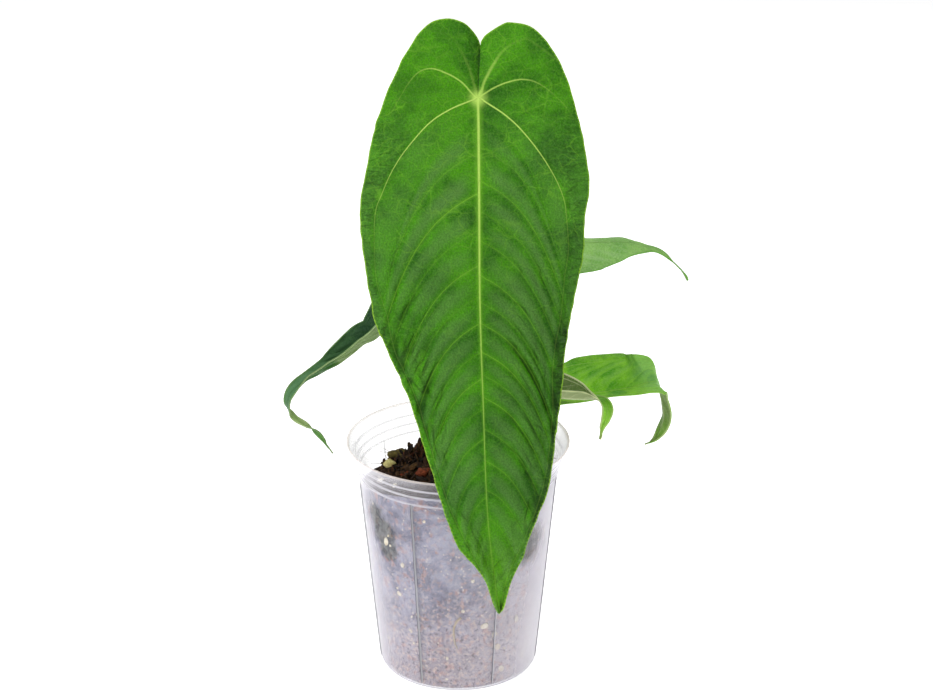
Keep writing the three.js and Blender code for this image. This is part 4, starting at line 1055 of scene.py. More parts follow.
add_blade(
    "blade_right_front", RIGHT_FRONT, rays=200, steps=26, slot="leaf_olive",
    upper=blade_material(
        "front_right_leaf_upper", RIGHT_FRONT, rib_width=0.9, deep=colour(96, 166, 32),
        fresh=colour(128, 196, 50), dull=colour(134, 184, 88), vein=colour(156, 208, 92),
        bright=colour(184, 222, 126), edge=colour(176, 206, 118), roughness=0.4, grain=0.4, lines=0.7,
        tips=[(24, 2, 0.7, colour(158, 220, 60))]),
    under=underside_material(
        "front_right_leaf_under", RIGHT_FRONT, rib_width=1.4, base=colour(86, 116, 42),
        vein=colour(216, 226, 168), keel=(4.6, colour(178, 192, 136))),
    rim=rim_material("front_right_leaf_rim", colour(224, 230, 176), colour(176, 198, 118)))


# Stalks

STALK_FEET = {"front": (-0.8, -4.6), "left": (-4.8, 0.6), "right_high": (-0.4, 4.8), "right_back": (4.6, 2),
              "right_front": (4.2, -2.9)}
STALK_MIDDLES = {
    "front": [(-0.5, -7, 165), (3, -9, 225), (8, -14, 285)],
    "left": [(-6.5, 4, 160), (-8, 12, 195)],
    "right_high": [(3, 9, 165), (16, 23, 203)],
    "right_back": [(9, 7, 137), (20, 14, 144)],
    "right_front": [(7, -7, 143), (12, -11, 154)],
}
STALK_RADIUS = {"front": 2.0, "left": 1.5, "right_high": 1.6, "right_back": 1.5, "right_front": 1.4}
STALK_RINGS = 121
STALK_SIDES = 22


def stalk_material():
    """Petioles: olive green, streaked and flecked lengthwise, browner at the foot."""
    material, w, shader = new_material("petiole_skin", Roughness=0.42, Specular_IOR_Level=0.45)
    place = w.place_in_mm()
    streaks = w.noise(w.scaled(place, 1.0, 1.0, 0.05), 1.1, 3.0, 0.6)
    flecks = w.eased(w.noise(w.scaled(place, 1.0, 1.0, 0.35), 1.6, 2.0, 0.6), 0.58, 0.7)
    height = w.parts(place)[2]
    tone = w.mix(w.eased(streaks, 0.3, 0.7), colour(86, 122, 48), colour(126, 156, 78))
    tone = w.mix(w.times(flecks, 0.5), tone, colour(168, 186, 122))
    tone = w.mix(w.eased(height, 124, 150, 0.75, 0.0), tone, colour(122, 96, 58))
    w.feed(shader["Base Color"], tone)
    add_bump(w, shader, w.times(streaks, 0.3), MM, 0.6)
    return material


STALK_SKIN = stalk_material()


def add_stalk(name):
    """A petiole from the crown up to its blade: a sheathed foot, a shallow channel and a swollen knee."""
    leaf = LEAVES[name]
    radius = STALK_RADIUS[name]
    place, normal, _ = leaf.midrib.frame(np.zeros(1))
    top_end = place[0] - normal[0] * (leaf.groove + 0.8 + SEAT_GAP)
    knee = top_end - normal[0] * KNEE_LENGTH * 0.6
    foot_x, foot_y = STALK_FEET[name]
    points = [(foot_x, foot_y, CROWN_TOP_HEIGHT + rise) for rise in (SEAT_GAP, UPRIGHT_START)]
    points += STALK_MIDDLES[name] + [tuple(knee), tuple(top_end)]
    t = np.linspace(0, 1, STALK_RINGS)
    line = evenly(points, t)
    length = np.linalg.norm(np.diff(line, axis=0), axis=1).sum()
    knee_share = KNEE_LENGTH / length
    swell = np.exp(-(((t - 1 + knee_share / 2) / (knee_share / 2)) ** 2))
    sheath = np.exp(-((t * length / 9) ** 2))
    radii = radius * (1 - 0.2 * (t - 0.25) + 0.42 * swell + 0.2 * sheath)

    def channel(u, v):
        return -0.1 * np.exp(-(((u - 0.25) / 0.06) ** 2)) * eased(v, 0.05, 0.2)

    piece = as_object(f"petiole_{name}", swept_tube(line, radii, STALK_SIDES, channel), [STALK_SKIN])
    place_on(piece, f"petiole_{name}", slot="petiole")


for leaf_name in LEAVES:
    add_stalk(leaf_name)


# Crown and bracts

CROWN_ROWS = 60
CROWN_SIDES = 72
POLE_RADIUS = 0.01
BRACT_THICKNESS = 0.35
BRACT_COLUMNS = 18
BRACT_ROWS = 40


def crown_material():
    """The short stem: olive, fibrous, with brown leaf scars round it."""
    material, w, shader = new_material("crown_bark", Roughness=0.75, Specular_IOR_Level=0.3)
    place = w.place_in_mm()
    fibres = w.noise(w.scaled(place, 1.0, 1.0, 0.12), 0.9, 4.0, 0.65)
    rings = w.eased(w.noise(w.scaled(place, 0.1, 0.1, 1.0), 0.5, 2.0), 0.42, 0.6)
    tone = w.mix(w.eased(fibres, 0.3, 0.7), colour(70, 74, 34), colour(118, 118, 64))
    tone = w.mix(w.times(rings, 0.7), tone, colour(96, 66, 38))
    w.feed(shader["Base Color"], tone)
    add_bump(w, shader, w.times(fibres, 0.6), MM)
    return material


def bract_material():
    """Papery tan with fibres along it, darker at the tip."""
    material, w, shader = new_material("dry_bract", Roughness=0.7, Specular_IOR_Level=0.3)
    place = w.place_in_mm()
    fibres = w.noise(w.scaled(place, 1.0, 1.0, 0.08), 1.6, 3.0, 0.7)
    tone = w.mix(w.eased(fibres, 0.35, 0.65), colour(104, 70, 36), colour(168, 130, 82))
    tip = w.eased(w.parts(place)[2], 126, 138)
    tone = w.mix(w.times(tip, 0.6), tone, colour(72, 46, 26))
    w.feed(shader["Base Color"], tone)
    add_bump(w, shader, w.times(fibres, 0.5), MM)
    return material


def add_crown():
    """The crown turned from its profile: a wider foot up to the ledge, then a ringed top."""
    profile = [(POLE_RADIUS, CROWN_SEAT_HEIGHT)]
    for height in np.linspace(CROWN_SEAT_HEIGHT, CROWN_TOP_HEIGHT, CROWN_ROWS):
        if height < CROWN_LEDGE_HEIGHT:
            radius = CROWN_LEDGE_RADIUS - 0.2 - 1.0 * math.exp(-((height - CROWN_SEAT_HEIGHT) / 1.2) ** 2)
        else:
            radius = CROWN_RADIUS - 0.5 + 0.35 * math.cos((height - CROWN_LEDGE_HEIGHT) * 2 * math.pi / 3)
        profile.append((radius, height))
    profile.append((POLE_RADIUS, CROWN_TOP_HEIGHT))
    count = len(profile) - 1
    table = np.array(profile)

    def shape(u, v):
        i = np.rint(v * count).astype(int)
        radius, height = table[i, 0], table[i, 1]
        angle = 2 * math.pi * u
        spots = np.stack([np.cos(angle) * 8, np.sin(angle) * 8, height * 0.4], -1)
        radius = radius * (1 - 0.03 * (1 + rough(spots, 0.45, 3)))
        return np.stack([np.cos(angle) * radius, np.sin(angle) * radius, height], -1)

    bm = shaped_grid(CROWN_SIDES, count, shape)
    bmesh.ops.remove_doubles(bm, verts=bm.verts, dist=2 * POLE_RADIUS * MM)
    bmesh.ops.recalc_face_normals(bm, faces=bm.faces)
    place_on(as_object("crown", bm, [crown_material()]), "crown", slot="crown")


def add_bract(number, height, half_width, degrees, lean, material):
    """A papery scale that stands on the crown's ledge and leans out at its tip."""
    inner = CROWN_RADIUS + SEAT_GAP + 0.1
    foot = CROWN_LEDGE_HEIGHT + SEAT_GAP

    def shape(u, v):
        ragged = 1 + 0.12 * np.sin(v * 40 + number) * v
        half = (half_width * np.cos(math.pi / 2 * v) ** 0.6 + 0.25) * ragged
        angle = (u * 2 - 1) * half / inner + math.radians(degrees)
        ripple = 0.18 * np.sin(u * 26 + 3 * v) * v
        radius = inner + 0.5 + lean * v * v + ripple
        return np.stack([radius * np.cos(angle), radius * np.sin(angle), foot + v * height], -1)

    bm = shaped_grid(BRACT_COLUMNS, BRACT_ROWS, shape)
    piece = as_object(f"bract_{number}", bm, [material])
    skin = piece.modifiers.new("thickness", "SOLIDIFY")
    skin.thickness = BRACT_THICKNESS * MM
    skin.offset = 0
    place_on(piece, f"bract_{number}", slot="bract")


add_crown()
DRY_BRACT = bract_material()
for index, (bract_height, bract_half, bract_degrees, bract_lean) in enumerate(BRACTS):
    add_bract(index + 1, bract_height, bract_half, bract_degrees, bract_lean, DRY_BRACT)


# Pot

# Where water stands between the mix and the wall, as (x, y, height, reach)
WET_PATCHES = ((-45.0, -26.0, 97.0, 8.5), (-41.5, -30.5, 89.5, 11.0), (-38.0, -33.0, 80.5, 8.5),
               (39.0, -33.0, 83.0, 13.0))


def wet_group():
    """A mask of the wet patches, from a place in mm."""
    w, given, out = new_group("Wet patches", [("Place", "Vector")], [("Wet", "Float")])
    shake = w.times(w.minus(w.noise(given["Place"], 0.22, 3.0), 0.5), 9.0)
    wet = 0.0
    for x, y, height, reach in WET_PATCHES:
        away = w.node("ShaderNodeVectorMath", operation="DISTANCE")
        w.feed(away.inputs[0], given["Place"])
        away.inputs[1].default_value = (x, y, height)
        shaken = w.plus(away.outputs["Value"], shake)
        wet = w.larger(wet, w.eased(shaken, reach * 0.55, reach * 1.25, 1.0, 0.0))
    w.feed(out["Wet"], wet)
    return w.tree


WET = wet_group()


def above_bed(w, place, bottom, top):
    """A mask of the wall above the mix, from a place in mm."""
    x, y, z = w.parts(place)
    bed = w.minus(w.plus(SOIL_EDGE_HEIGHT, w.times(x, SOIL_RISE_TO_RIGHT)), w.times(y, SOIL_RISE_TO_FRONT))
    return w.eased(w.minus(z, bed), -1.0, 2.0, bottom, top)


def pot_material():
    """Clear soft plastic with a milky haze: thin where it faces you, whiter along its edges and rings."""
    material, w, shader = new_material(
        "clear_pot", Roughness=0.3, IOR=PLASTIC_IOR, Specular_IOR_Level=0.3)
    place = w.place_in_mm()
    x, _, z = w.parts(place)
    clouds = w.noise(w.scaled(place, 1.0, 1.0, 0.55), 0.035, 3.0, 0.5)
    film = w.noise(place, 0.35, 3.0, 0.6)
    facing = w.node("ShaderNodeLayerWeight", {"Blend": 0.5}).outputs["Facing"]
    haze = w.eased(facing, 0.35, 0.95, 0.1, 0.5)
    haze = w.plus(haze, w.times(w.minus(clouds, 0.5), 0.2))
    haze = w.plus(haze, w.times(w.minus(film, 0.5), 0.08))
    haze = w.plus(haze, w.eased(z, 5.0, 70.0, 0.03, 0.0))
    haze = w.plus(haze, w.eased(x, 5.0, 42.0, 0.0, 0.13))
    # More haze on the ring crests: partly the thicker plastic, partly a painted highlight.
    for height in RING_HEIGHTS:
        crest = band_mask(w, w.minus(z, height), 0.3, 0.28)
        haze = w.plus(haze, w.times(crest, 0.45))
        hollow = band_mask(w, w.minus(z, height - 1.0), 0.4, 0.4)
        haze = w.plus(haze, w.times(hollow, 0.02))
    rim = w.eased(z, POT_HEIGHT - 1.6, POT_HEIGHT - 0.6)
    haze = w.plus(haze, w.times(rim, 0.3))
    haze = w.plus(haze, w.times(w.group(WET, Place=place)["Wet"], -0.2))
    haze = w.plus(haze, w.eased(z, 0.0, 3.0, 0.25, 0.0))
    w.feed(shader["Alpha"], w.larger(w.math("MINIMUM", haze, 0.9), 0.03))
    tint = w.mix(clouds, colour(222, 220, 234), colour(234, 232, 238))
    # Painted shadow: a dark grey line along the foot, where the pot meets the floor.
    foot_shadow = w.eased(z, 0.5, 1.6, 0.75, 0.0)
    tint = w.mix(w.times(rim, 0.8), tint, colour(228, 212, 202))
    w.feed(shader["Base Color"], w.mix(foot_shadow, tint, colour(120, 122, 136)))
    # Painted light: the plastic glows faintly all over and more above the mix, standing in for light
    # scattered in the wall.
    shader["Emission Color"].default_value = (1.0, 0.98, 0.95, 1.0)
    painted_glow = w.times(above_bed(w, place, 0.0, 1.0), w.eased(rim, 0.0, 1.0, 0.14, 0.12))
    w.feed(shader["Emission Strength"], w.plus(0.04, painted_glow))
    add_bump(w, shader, w.noise(w.scaled(place, 1, 1, 0.3), 0.12, 2.0), MM, 0.25)
    return material


def ring_bumps(height, reach):
    """How much of a moulded ring there is at a height."""
    return sum(math.exp(-(((height - ring) / reach) ** 2)) for ring in RING_HEIGHTS)


def pot_profile():
    """(radius, height) points from the middle of the base up the outside, over the rim and down inside."""
    outside = [(0, 0), (BASE_RADIUS - 2.0, 0), (BASE_RADIUS - 1.1, 0.12), (BASE_RADIUS - 0.4, 0.5),
               (float(wall_radius(1.3)) - 0.05, 1.3)]
    for height in np.concatenate([np.linspace(2.5, 110, 36), np.linspace(110.6, 128.6, 61)]):
        bump = RING_RELIEF * ring_bumps(height, RING_REACH)
        outside.append((float(wall_radius(height)) + bump, float(height)))
    outside += [(RIM_RADIUS - 0.1, POT_HEIGHT - 0.7), (RIM_RADIUS - 0.02, POT_HEIGHT - 0.3),
                (RIM_RADIUS - 0.25, POT_HEIGHT), (RIM_RADIUS - WALL + 0.1, POT_HEIGHT)]
    inside = []
    for height in np.concatenate([np.linspace(129.4, 111, 40), np.linspace(108, 4, 30)]):
        bump = INNER_RING_RELIEF * ring_bumps(height, INNER_RING_REACH)
        inside.append((float(wall_radius(height)) - WALL + bump, float(height)))
    inside += [(float(wall_radius(1.6)) - WALL - 0.1, 1.6),
               (float(wall_radius(1)) - WALL - 0.8, FLOOR_THICKNESS), (0, FLOOR_THICKNESS)]
    return outside + inside


def add_pot():
    """The moulding turned from its profile, with its drain holes cut."""
    bm = bmesh.new()
    profile = [bm.verts.new((radius * MM, 0, height * MM)) for radius, height in pot_profile()]
    edges = [bm.edges.new(pair) for pair in zip(profile, profile[1:])]
    bmesh.ops.spin(bm, geom=profile + edges, cent=(0, 0, 0), axis=(0, 0, 1), dvec=(0, 0, 0),
                   angle=2 * math.pi, steps=POT_SIDES, use_merge=True, use_normal_flip=False,
                   use_duplicate=False)
    bmesh.ops.remove_doubles(bm, verts=bm.verts, dist=VERY_CLOSE)
    bmesh.ops.recalc_face_normals(bm, faces=bm.faces)
    pot = as_object("pot", bm, [POT_PLASTIC])
    cut_drains(pot)
    place_on(pot, "pot", slot="pot_plastic")


def cut_drains(pot):
    """Round holes in a ring through the pot's base."""
    bm = bmesh.new()
    for i in range(DRAIN_COUNT):
        angle = 2 * math.pi * (i + 0.5) / DRAIN_COUNT
        centre = Vector((DRAIN_RING_RADIUS * math.cos(angle), DRAIN_RING_RADIUS * math.sin(angle),
                         FLOOR_THICKNESS / 2)) * MM
        bmesh.ops.create_cone(bm, cap_ends=True, segments=DRAIN_SIDES, radius1=DRAIN_RADIUS * MM,
                              radius2=DRAIN_RADIUS * MM, depth=4 * FLOOR_THICKNESS * MM,
                              matrix=Matrix.Translation(centre))
    drills = as_object("drain_drills", bm, [], smooth=False)
    cut = pot.modifiers.new("drains", "BOOLEAN")
    cut.operation = "DIFFERENCE"
    cut.solver = "EXACT"
    cut.object = drills
    whole = bpy.data.meshes.new_from_object(pot.evaluated_get(bpy.context.evaluated_depsgraph_get()))
    pot.modifiers.clear()
    pot.data = whole
    bpy.data.objects.remove(drills)


def add_ribs():
    """Thin upright ribs on the wall, from near the foot to the lowest ring. Flank is 1 on the lit side."""
    bm = bmesh.new()
    flank = bm.verts.layers.float.new("flank")
    for i in range(RIB_COUNT):
        angle = math.radians(RIB_START_DEGREES + 360 * i / RIB_COUNT)
        made = bmesh.ops.create_cube(bm, size=1)["verts"]
        for vert in made:
            vert[flank] = 0.0 if vert.co.y < 0 else 1.0
            height = RIB_FOOT if vert.co.z < 0 else RING_HEIGHTS[0] - 0.3
            outer = vert.co.x > 0
            radius = float(wall_radius(height)) + (RIB_PROUD if outer else -RIB_SUNK)
            side = vert.co.y * (RIB_WIDTH_OUTSIDE if outer else RIB_WIDTH_INSIDE)
            vert.co = Matrix.Rotation(angle, 3, "Z") @ Vector((radius, side, height)) * MM
        edges = list({edge for vert in made for edge in vert.link_edges})
        bmesh.ops.bevel(bm, geom=edges, offset=RIB_SOFT_EDGE * MM, affect="EDGES", segments=2, profile=0.5,
                        material=-1)
    place_on(as_object("pot_ribs", bm, [RIB_PLASTIC]), slot="pot_plastic")


def rib_material():
    """The moulded ribs: clearer than the wall over the mix, and grey on the flank away from the light."""
    material, w, shader = new_material("pot_rib", Roughness=0.25, IOR=PLASTIC_IOR, Specular_IOR_Level=0.6)
    place = w.place_in_mm()
    wear = w.noise(place, 0.2, 2.0)
    tone = w.mix(wear, colour(240, 240, 244), colour(214, 214, 220))
    lit = w.eased(w.attribute("flank", "Fac"), 0.35, 0.65)
    w.feed(shader["Base Color"], w.mix(lit, colour(128, 128, 138), tone))
    w.feed(shader["Alpha"], w.times(above_bed(w, place, 1.0, 0.3), w.plus(0.5, w.times(wear, 0.3))))
    return material


POT_PLASTIC = pot_material()
RIB_PLASTIC = rib_material()
add_pot()
add_ribs()


# Potting mix

MIX_SIDES = 200
MIX_FLOOR_ROWS = 6
MIX_WALL_ROWS = 70
MIX_TOP_ROWS = 54
MOUND_REACH = 46.0
MOUND_CLEAR = 11.0

BARK_SEED = 21
BARK_COUNT = 700
BARK_FLAKE_SHARE = 0.55
RIDGE_BARK_COUNT = 150
RIDGE_CLEAR = 12.0

FIBRE_SEED = 8
FIBRE_COUNT = 150
FIBRE_POINTS = 10
PALE_ROOT_POINTS = 24

PERLITE_SEED = 4
TOP_PERLITE_COUNT = 46
BACK_PERLITE_COUNT = 60
FRONT_PERLITE_COUNT = 36

# A pale root that shows through the wall, as (direction in degrees, height)
PALE_ROOT = ((-88.5, 46.5), (-91.2, 44.0), (-93.0, 40.0), (-93.2, 35.0), (-92.4, 30.0), (-91.0, 27.0))

# Perlite that shows through the wall, as (direction in degrees, height, size)
WALL_PEBBLES = (
    (-140, 84.5, 4.2), (-127, 74, 2.6), (-132, 55, 2.8), (-124, 33.5, 2.2), (-87, 50.5, 2.4), (-81, 69, 2.2),
    (-72.5, 40, 4.0), (-47, 39, 4.2), (-65, 33.5, 3.2), (-62, 25, 4.6), (-57.5, 10, 3.8), (-37, 13, 3.6),
    (-31.5, 18, 2.8), (-23, 85, 3.0), (-98, 20.5, 1.8), (-110, 104, 2.0))


def mix_material():
    """Moist bark and moss: dark brown and fibrous on top, greyer with pale specks against the wall."""
    material, w, shader = new_material("potting_mix", Roughness=0.85, Specular_IOR_Level=0.3)
    place = w.place_in_mm()
    x, _, z = w.parts(place)
    clumps = w.noise(place, 0.12, 4.0, 0.65)
    fine = w.noise(place, 0.9, 4.0, 0.7)
    top = w.mix(w.eased(clumps, 0.35, 0.65), colour(23, 13, 5), colour(58, 36, 16))
    top = w.mix(w.times(w.eased(fine, 0.5, 0.7), 0.6), top, colour(92, 58, 30))
    specks = w.eased(w.cells(place, 0.45), 0.16, 0.26, 1.0, 0.0)
    kinds = w.noise(place, 0.22, 2.0)
    broad = w.noise(place, 0.045, 3.0, 0.55)
    medium = w.noise(place, 0.2, 3.0, 0.6)
    cloud = w.summed((broad, 0.6), (medium, 0.4))
    side = w.mix(w.eased(cloud, 0.38, 0.62), colour(106, 108, 132), colour(170, 170, 192))
    warm = w.eased(w.minus(w.times(x, 0.5), z), -75, -10)
    rusty = w.eased(w.noise(place, 0.24, 3.0, 0.6), 0.52, 0.66)
    grit = w.noise(place, 0.55, 2.0, 0.5)
    gritty = w.times(w.eased(z, 20.0, 80.0, 1.0, 0.35), 0.8)
    mossy = w.mix(w.eased(medium, 0.4, 0.6), colour(66, 70, 60), colour(122, 124, 114))
    side = w.layered(
        side, (warm, 0.5, colour(200, 182, 184)), (w.eased(x, 5.0, 38.0), 0.45, colour(226, 216, 226)),
        (rusty, 0.5, colour(202, 144, 116)), (w.eased(grit, 0.5, 0.72), gritty, colour(226, 200, 184)),
        (w.eased(grit, 0.46, 0.3), gritty, colour(82, 68, 76)),
        (specks, w.eased(kinds, 0.55, 0.6), colour(238, 224, 208)),
        (specks, w.eased(kinds, 0.42, 0.38, 0.0, 0.7), colour(48, 38, 36)),
        (w.group(WET, Place=place)["Wet"], 0.75, mossy))
    w.feed(shader["Base Color"], w.mix(w.attribute("side", "Fac"), top, side))
    add_bump(w, shader, w.summed((clumps, 1.2), (fine, 0.5)), MM)
    return material


def bark_material():
    """Bark bits, each in its own brown, from nearly black to reddish."""
    material, w, shader = new_material("bark_bits", Roughness=0.8, Specular_IOR_Level=0.35)
    place = w.place_in_mm()
    kind = w.attribute("kind", "Fac")
    grain = w.noise(place, 1.1, 4.0, 0.7)
    tone = w.mix(w.eased(kind, 0.0, 0.5), colour(22, 13, 7), colour(64, 36, 16))
    tone = w.mix(w.eased(kind, 0.55, 0.8), tone, colour(96, 64, 26))
    tone = w.mix(w.eased(kind, 0.88, 1.0), tone, colour(132, 56, 24))
    tone = w.mix(w.times(w.eased(grain, 0.35, 0.65), 0.7), tone, colour(24, 14, 8))
    w.feed(shader["Base Color"], tone)
    add_bump(w, shader, w.times(grain, 1.2), MM)
    return material


def stone_material(name, light, dark):
    """A pitted, stained lump: perlite, pumice or a chip of bark."""
    material, w, shader = new_material(name, Roughness=0.85, Specular_IOR_Level=0.3)
    place = w.place_in_mm()
    pits = w.eased(w.cells(place, 1.5), 0.1, 0.4)
    stain = w.noise(place, 0.6, 3.0)
    tone = w.mix(w.eased(stain, 0.3, 0.75), light, dark)
    w.feed(shader["Base Color"], w.mix(w.times(w.minus(1.0, pits), 0.5), tone, dark))
    add_bump(w, shader, pits, 0.4 * MM)
    return material


def root_material(name, roughness, scale, first, second):
    """A root in two tones that run into each other."""
    material, w, shader = new_material(name, Roughness=roughness, Specular_IOR_Level=0.3)
    w.feed(shader["Base Color"], w.mix(w.noise(w.place_in_mm(), scale, 2.0), first, second))
    return material


def soil_edge(cos, sin):
    """Radius at which the top of the mix meets the wall, in directions given by their cosine and sine."""
    radius = np.full_like(cos, wall_radius(SOIL_EDGE_HEIGHT))
    for _ in range(8):
        radius = wall_radius(soil_height(radius * cos, radius * sin))
    return radius - WALL - SOIL_WALL_GAP


def add_mix():
    """The filling, in rows out over its foot, up the wall and in over the mound. Side is 1 on the wall."""
    foot = FLOOR_THICKNESS + 0.3
    foot_radius = float(wall_radius(foot)) - WALL - SOIL_WALL_GAP
    top_start = MIX_FLOOR_ROWS + MIX_WALL_ROWS
    rows = top_start + MIX_TOP_ROWS
    values = {}

    def shape(u, v):
        i = np.rint(v * rows)
        angle = 2 * math.pi * u
        cos, sin = np.cos(angle), np.sin(angle)
        edge = soil_edge(cos, sin)
        edge_height = soil_height(edge * cos, edge * sin)
        upright = (i > MIX_FLOOR_ROWS) & (i <= top_start)
        on_top = i > top_start
        wall_height = foot + (edge_height - foot) * ((i - MIX_FLOOR_ROWS) / MIX_WALL_ROWS)
        out = (rows - i) / MIX_TOP_ROWS
        radius = foot_radius * i / MIX_FLOOR_ROWS
        radius = np.where(upright, wall_radius(wall_height) - WALL - SOIL_WALL_GAP, radius)
        radius = np.where(on_top, edge * out, radius)
        height = np.where(upright, wall_height, foot)
        height = np.where(on_top, soil_height(radius * cos, radius * sin), height)
        spots = np.stack([radius * cos, radius * sin, height], -1)
        dents = rough(spots, 0.16, 4) + 0.8 * rough(spots, 0.5, 2, 5.0)
        pressed = np.clip(0.5 - dents, 0, 2) * 0.7 * eased(i - MIX_FLOOR_ROWS, 0, 3)
        radius = np.where(upright, radius - pressed, radius)
        inward = eased(1 - np.clip(out, 0, 1), 0.0, 0.08)
        height = np.where(on_top, height + (dents * 2.1 - 0.5) * inward, height)
        values["side"] = np.where(on_top, 0.0, 1.0)
        return np.stack([radius * cos, radius * sin, height], -1)

    bm = shaped_grid(MIX_SIDES, rows, shape)
    layer = bm.verts.layers.float.new("side")
    for vert, value in zip(bm.verts, values["side"]):
        vert[layer] = value
    bmesh.ops.remove_doubles(bm, verts=bm.verts, dist=CLOSE)
    bmesh.ops.recalc_face_normals(bm, faces=bm.faces)
    place_on(as_object("potting_mix", bm, [mix_material()]), "substrate", slot="potting_mix")


def bark_bit(bm, place, size, turn, kind, rng):
    """One knocked-about block of bark at a place in mm."""
    part = bmesh.new()
    layer = part.verts.layers.float.new("kind")
    bmesh.ops.create_uvsphere(part, u_segments=7, v_segments=5, radius=1)
    spin = turn.to_matrix()
    pinch = rng.uniform(0.2, 0.6)
    for vert in part.verts:
        blocky = Vector([math.copysign(abs(value) ** 0.6, value) / 2 for value in vert.co])
        narrow = 1 - pinch * max(blocky.x * 2, 0)
        local = Vector((blocky.x * size[0], blocky.y * size[1] * narrow, blocky.z * size[2] * narrow))
        local += Vector((rng.uniform(-1, 1), rng.uniform(-1, 1), rng.uniform(-1, 1))) * min(size) * 0.12
        vert.co = (spin @ local + Vector(place)) * MM
        vert[layer] = kind
    add_part(bm, part)


def on_mound(rng, reach=MOUND_REACH, clear=MOUND_CLEAR):
    """A place on the top of the mix, away from the crown."""
    while True:
        radius = reach * math.sqrt(rng.random())
        if radius > clear:
            break
    angle = rng.uniform(0, 2 * math.pi)
    x, y = radius * math.cos(angle), radius * math.sin(angle)
    return x, y, float(soil_height(x, y))


def on_wall(azimuth, height, inset):
    """A place against the wall's inner face, as far in as inset."""
    radius = float(wall_radius(height)) - WALL - inset
    angle = math.radians(azimuth)
    return radius * math.cos(angle), radius * math.sin(angle), height


def add_bark():
    """Flakes and chunks over the mound, then flakes that stand in the ridge."""
    rng = random.Random(BARK_SEED)
    bm = bmesh.new()
    bm.verts.layers.float.new("kind")
    for _ in range(BARK_COUNT):
        x, y, z = on_mound(rng)
        flake = rng.random() < BARK_FLAKE_SHARE
        length = rng.uniform(3.0, 9.5) if flake else rng.uniform(2.2, 7.0)
        length *= 0.7 if math.hypot(x, y) > 40 else 1.0
        size = (length, length * rng.uniform(0.2, 0.4), length * rng.uniform(0.06, 0.14))
        if not flake:
            size = (length, length * rng.uniform(0.4, 0.75), length * rng.uniform(0.3, 0.5))
        tilt = 1.2 if flake else 0.6
        turn = Euler((rng.uniform(-tilt, tilt), rng.uniform(-tilt, tilt), rng.uniform(0, 2 * math.pi)))
        bark_bit(bm, (x, y, z + rng.uniform(-0.4, 1.8)), size, turn, rng.random(), rng)
    ridge_x, ridge_y, _, length, width = SOIL_RIDGE
    for _ in range(RIDGE_BARK_COUNT):
        x = ridge_x + rng.gauss(2, length * 0.75)
        y = ridge_y + rng.gauss(-3, width * 0.7)
        if not RIDGE_CLEAR <= math.hypot(x, y) <= MOUND_REACH:
            continue
        long = rng.uniform(3.5, 9.0)
        size = (long, long * rng.uniform(0.18, 0.45), long * rng.uniform(0.05, 0.16))
        turn = Euler((rng.uniform(-0.5, 0.5), rng.uniform(0.5, 1.9) * rng.choice((-1, 1)),
                      rng.uniform(0, 6.28)))
        z = float(soil_height(x, y)) + rng.uniform(0.5, 0.32 * long)
        bark_bit(bm, (x, y, z), size, turn, rng.random(), rng)
    bmesh.ops.recalc_face_normals(bm, faces=bm.faces)
    place_on(as_object("bark_bits", bm, [bark_material()], smooth=False), slot="potting_mix")


def add_lump(node, material, slot, depth, scale):
    """A finer copy of a loose piece: its faces divided and knocked about."""
    bm = bmesh.new()
    bm.from_mesh(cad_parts[node].data)
    bmesh.ops.remove_doubles(bm, verts=bm.verts, dist=CLOSE)
    bmesh.ops.subdivide_edges(bm, edges=bm.edges, cuts=3, use_grid_fill=True, smooth=0.25)
    bm.normal_update()
    places = np.array([vert.co for vert in bm.verts]) / MM
    for vert, push in zip(list(bm.verts), rough(places, scale, 4)):
        vert.co += vert.normal * float(push) * depth * MM
    place_on(as_object(node, bm, [material]), node, slot=slot)


def add_roots_and_fibres():
    """Fine roots that wander over the mound, and one pale root against the wall."""
    rng = random.Random(FIBRE_SEED)
    bm = bmesh.new()
    for _ in range(FIBRE_COUNT):
        x, y, z = on_mound(rng, 44)
        heading = rng.uniform(0, 2 * math.pi)
        length = rng.uniform(4, 15)
        rise = rng.uniform(-0.05, 0.5)
        line = []
        place = np.array([x, y, z - 0.5])
        step = length / (FIBRE_POINTS - 1)
        for i in range(FIBRE_POINTS):
            line.append(place.copy())
            heading += rng.uniform(-0.45, 0.45)
            place = place + step * np.array([math.cos(heading), math.sin(heading), rise - 0.08 * i * rise])
            limit = float(wall_radius(place[2])) - 2.0
            out = math.hypot(place[0], place[1])
            if out > limit:
                place[:2] *= limit / out
        radii = np.linspace(rng.uniform(0.18, 0.4), 0.08, FIBRE_POINTS)
        add_part(bm, swept_tube(line, radii, 5))
    brown = root_material("fine_roots", 0.7, 0.3, colour(34, 22, 14), colour(96, 66, 40))
    place_on(as_object("fine_roots", bm, [brown]), slot="potting_mix")

    places = [on_wall(azimuth, height, 0.55) for azimuth, height in PALE_ROOT]
    t = np.linspace(0, 1, PALE_ROOT_POINTS)
    root = swept_tube(evenly(places, t), 0.75 - 0.3 * t, 8)
    cream = root_material("pale_root", 0.6, 0.4, colour(206, 192, 168), colour(168, 150, 124))
    place_on(as_object("pale_root", root, [cream]), slot="potting_mix")


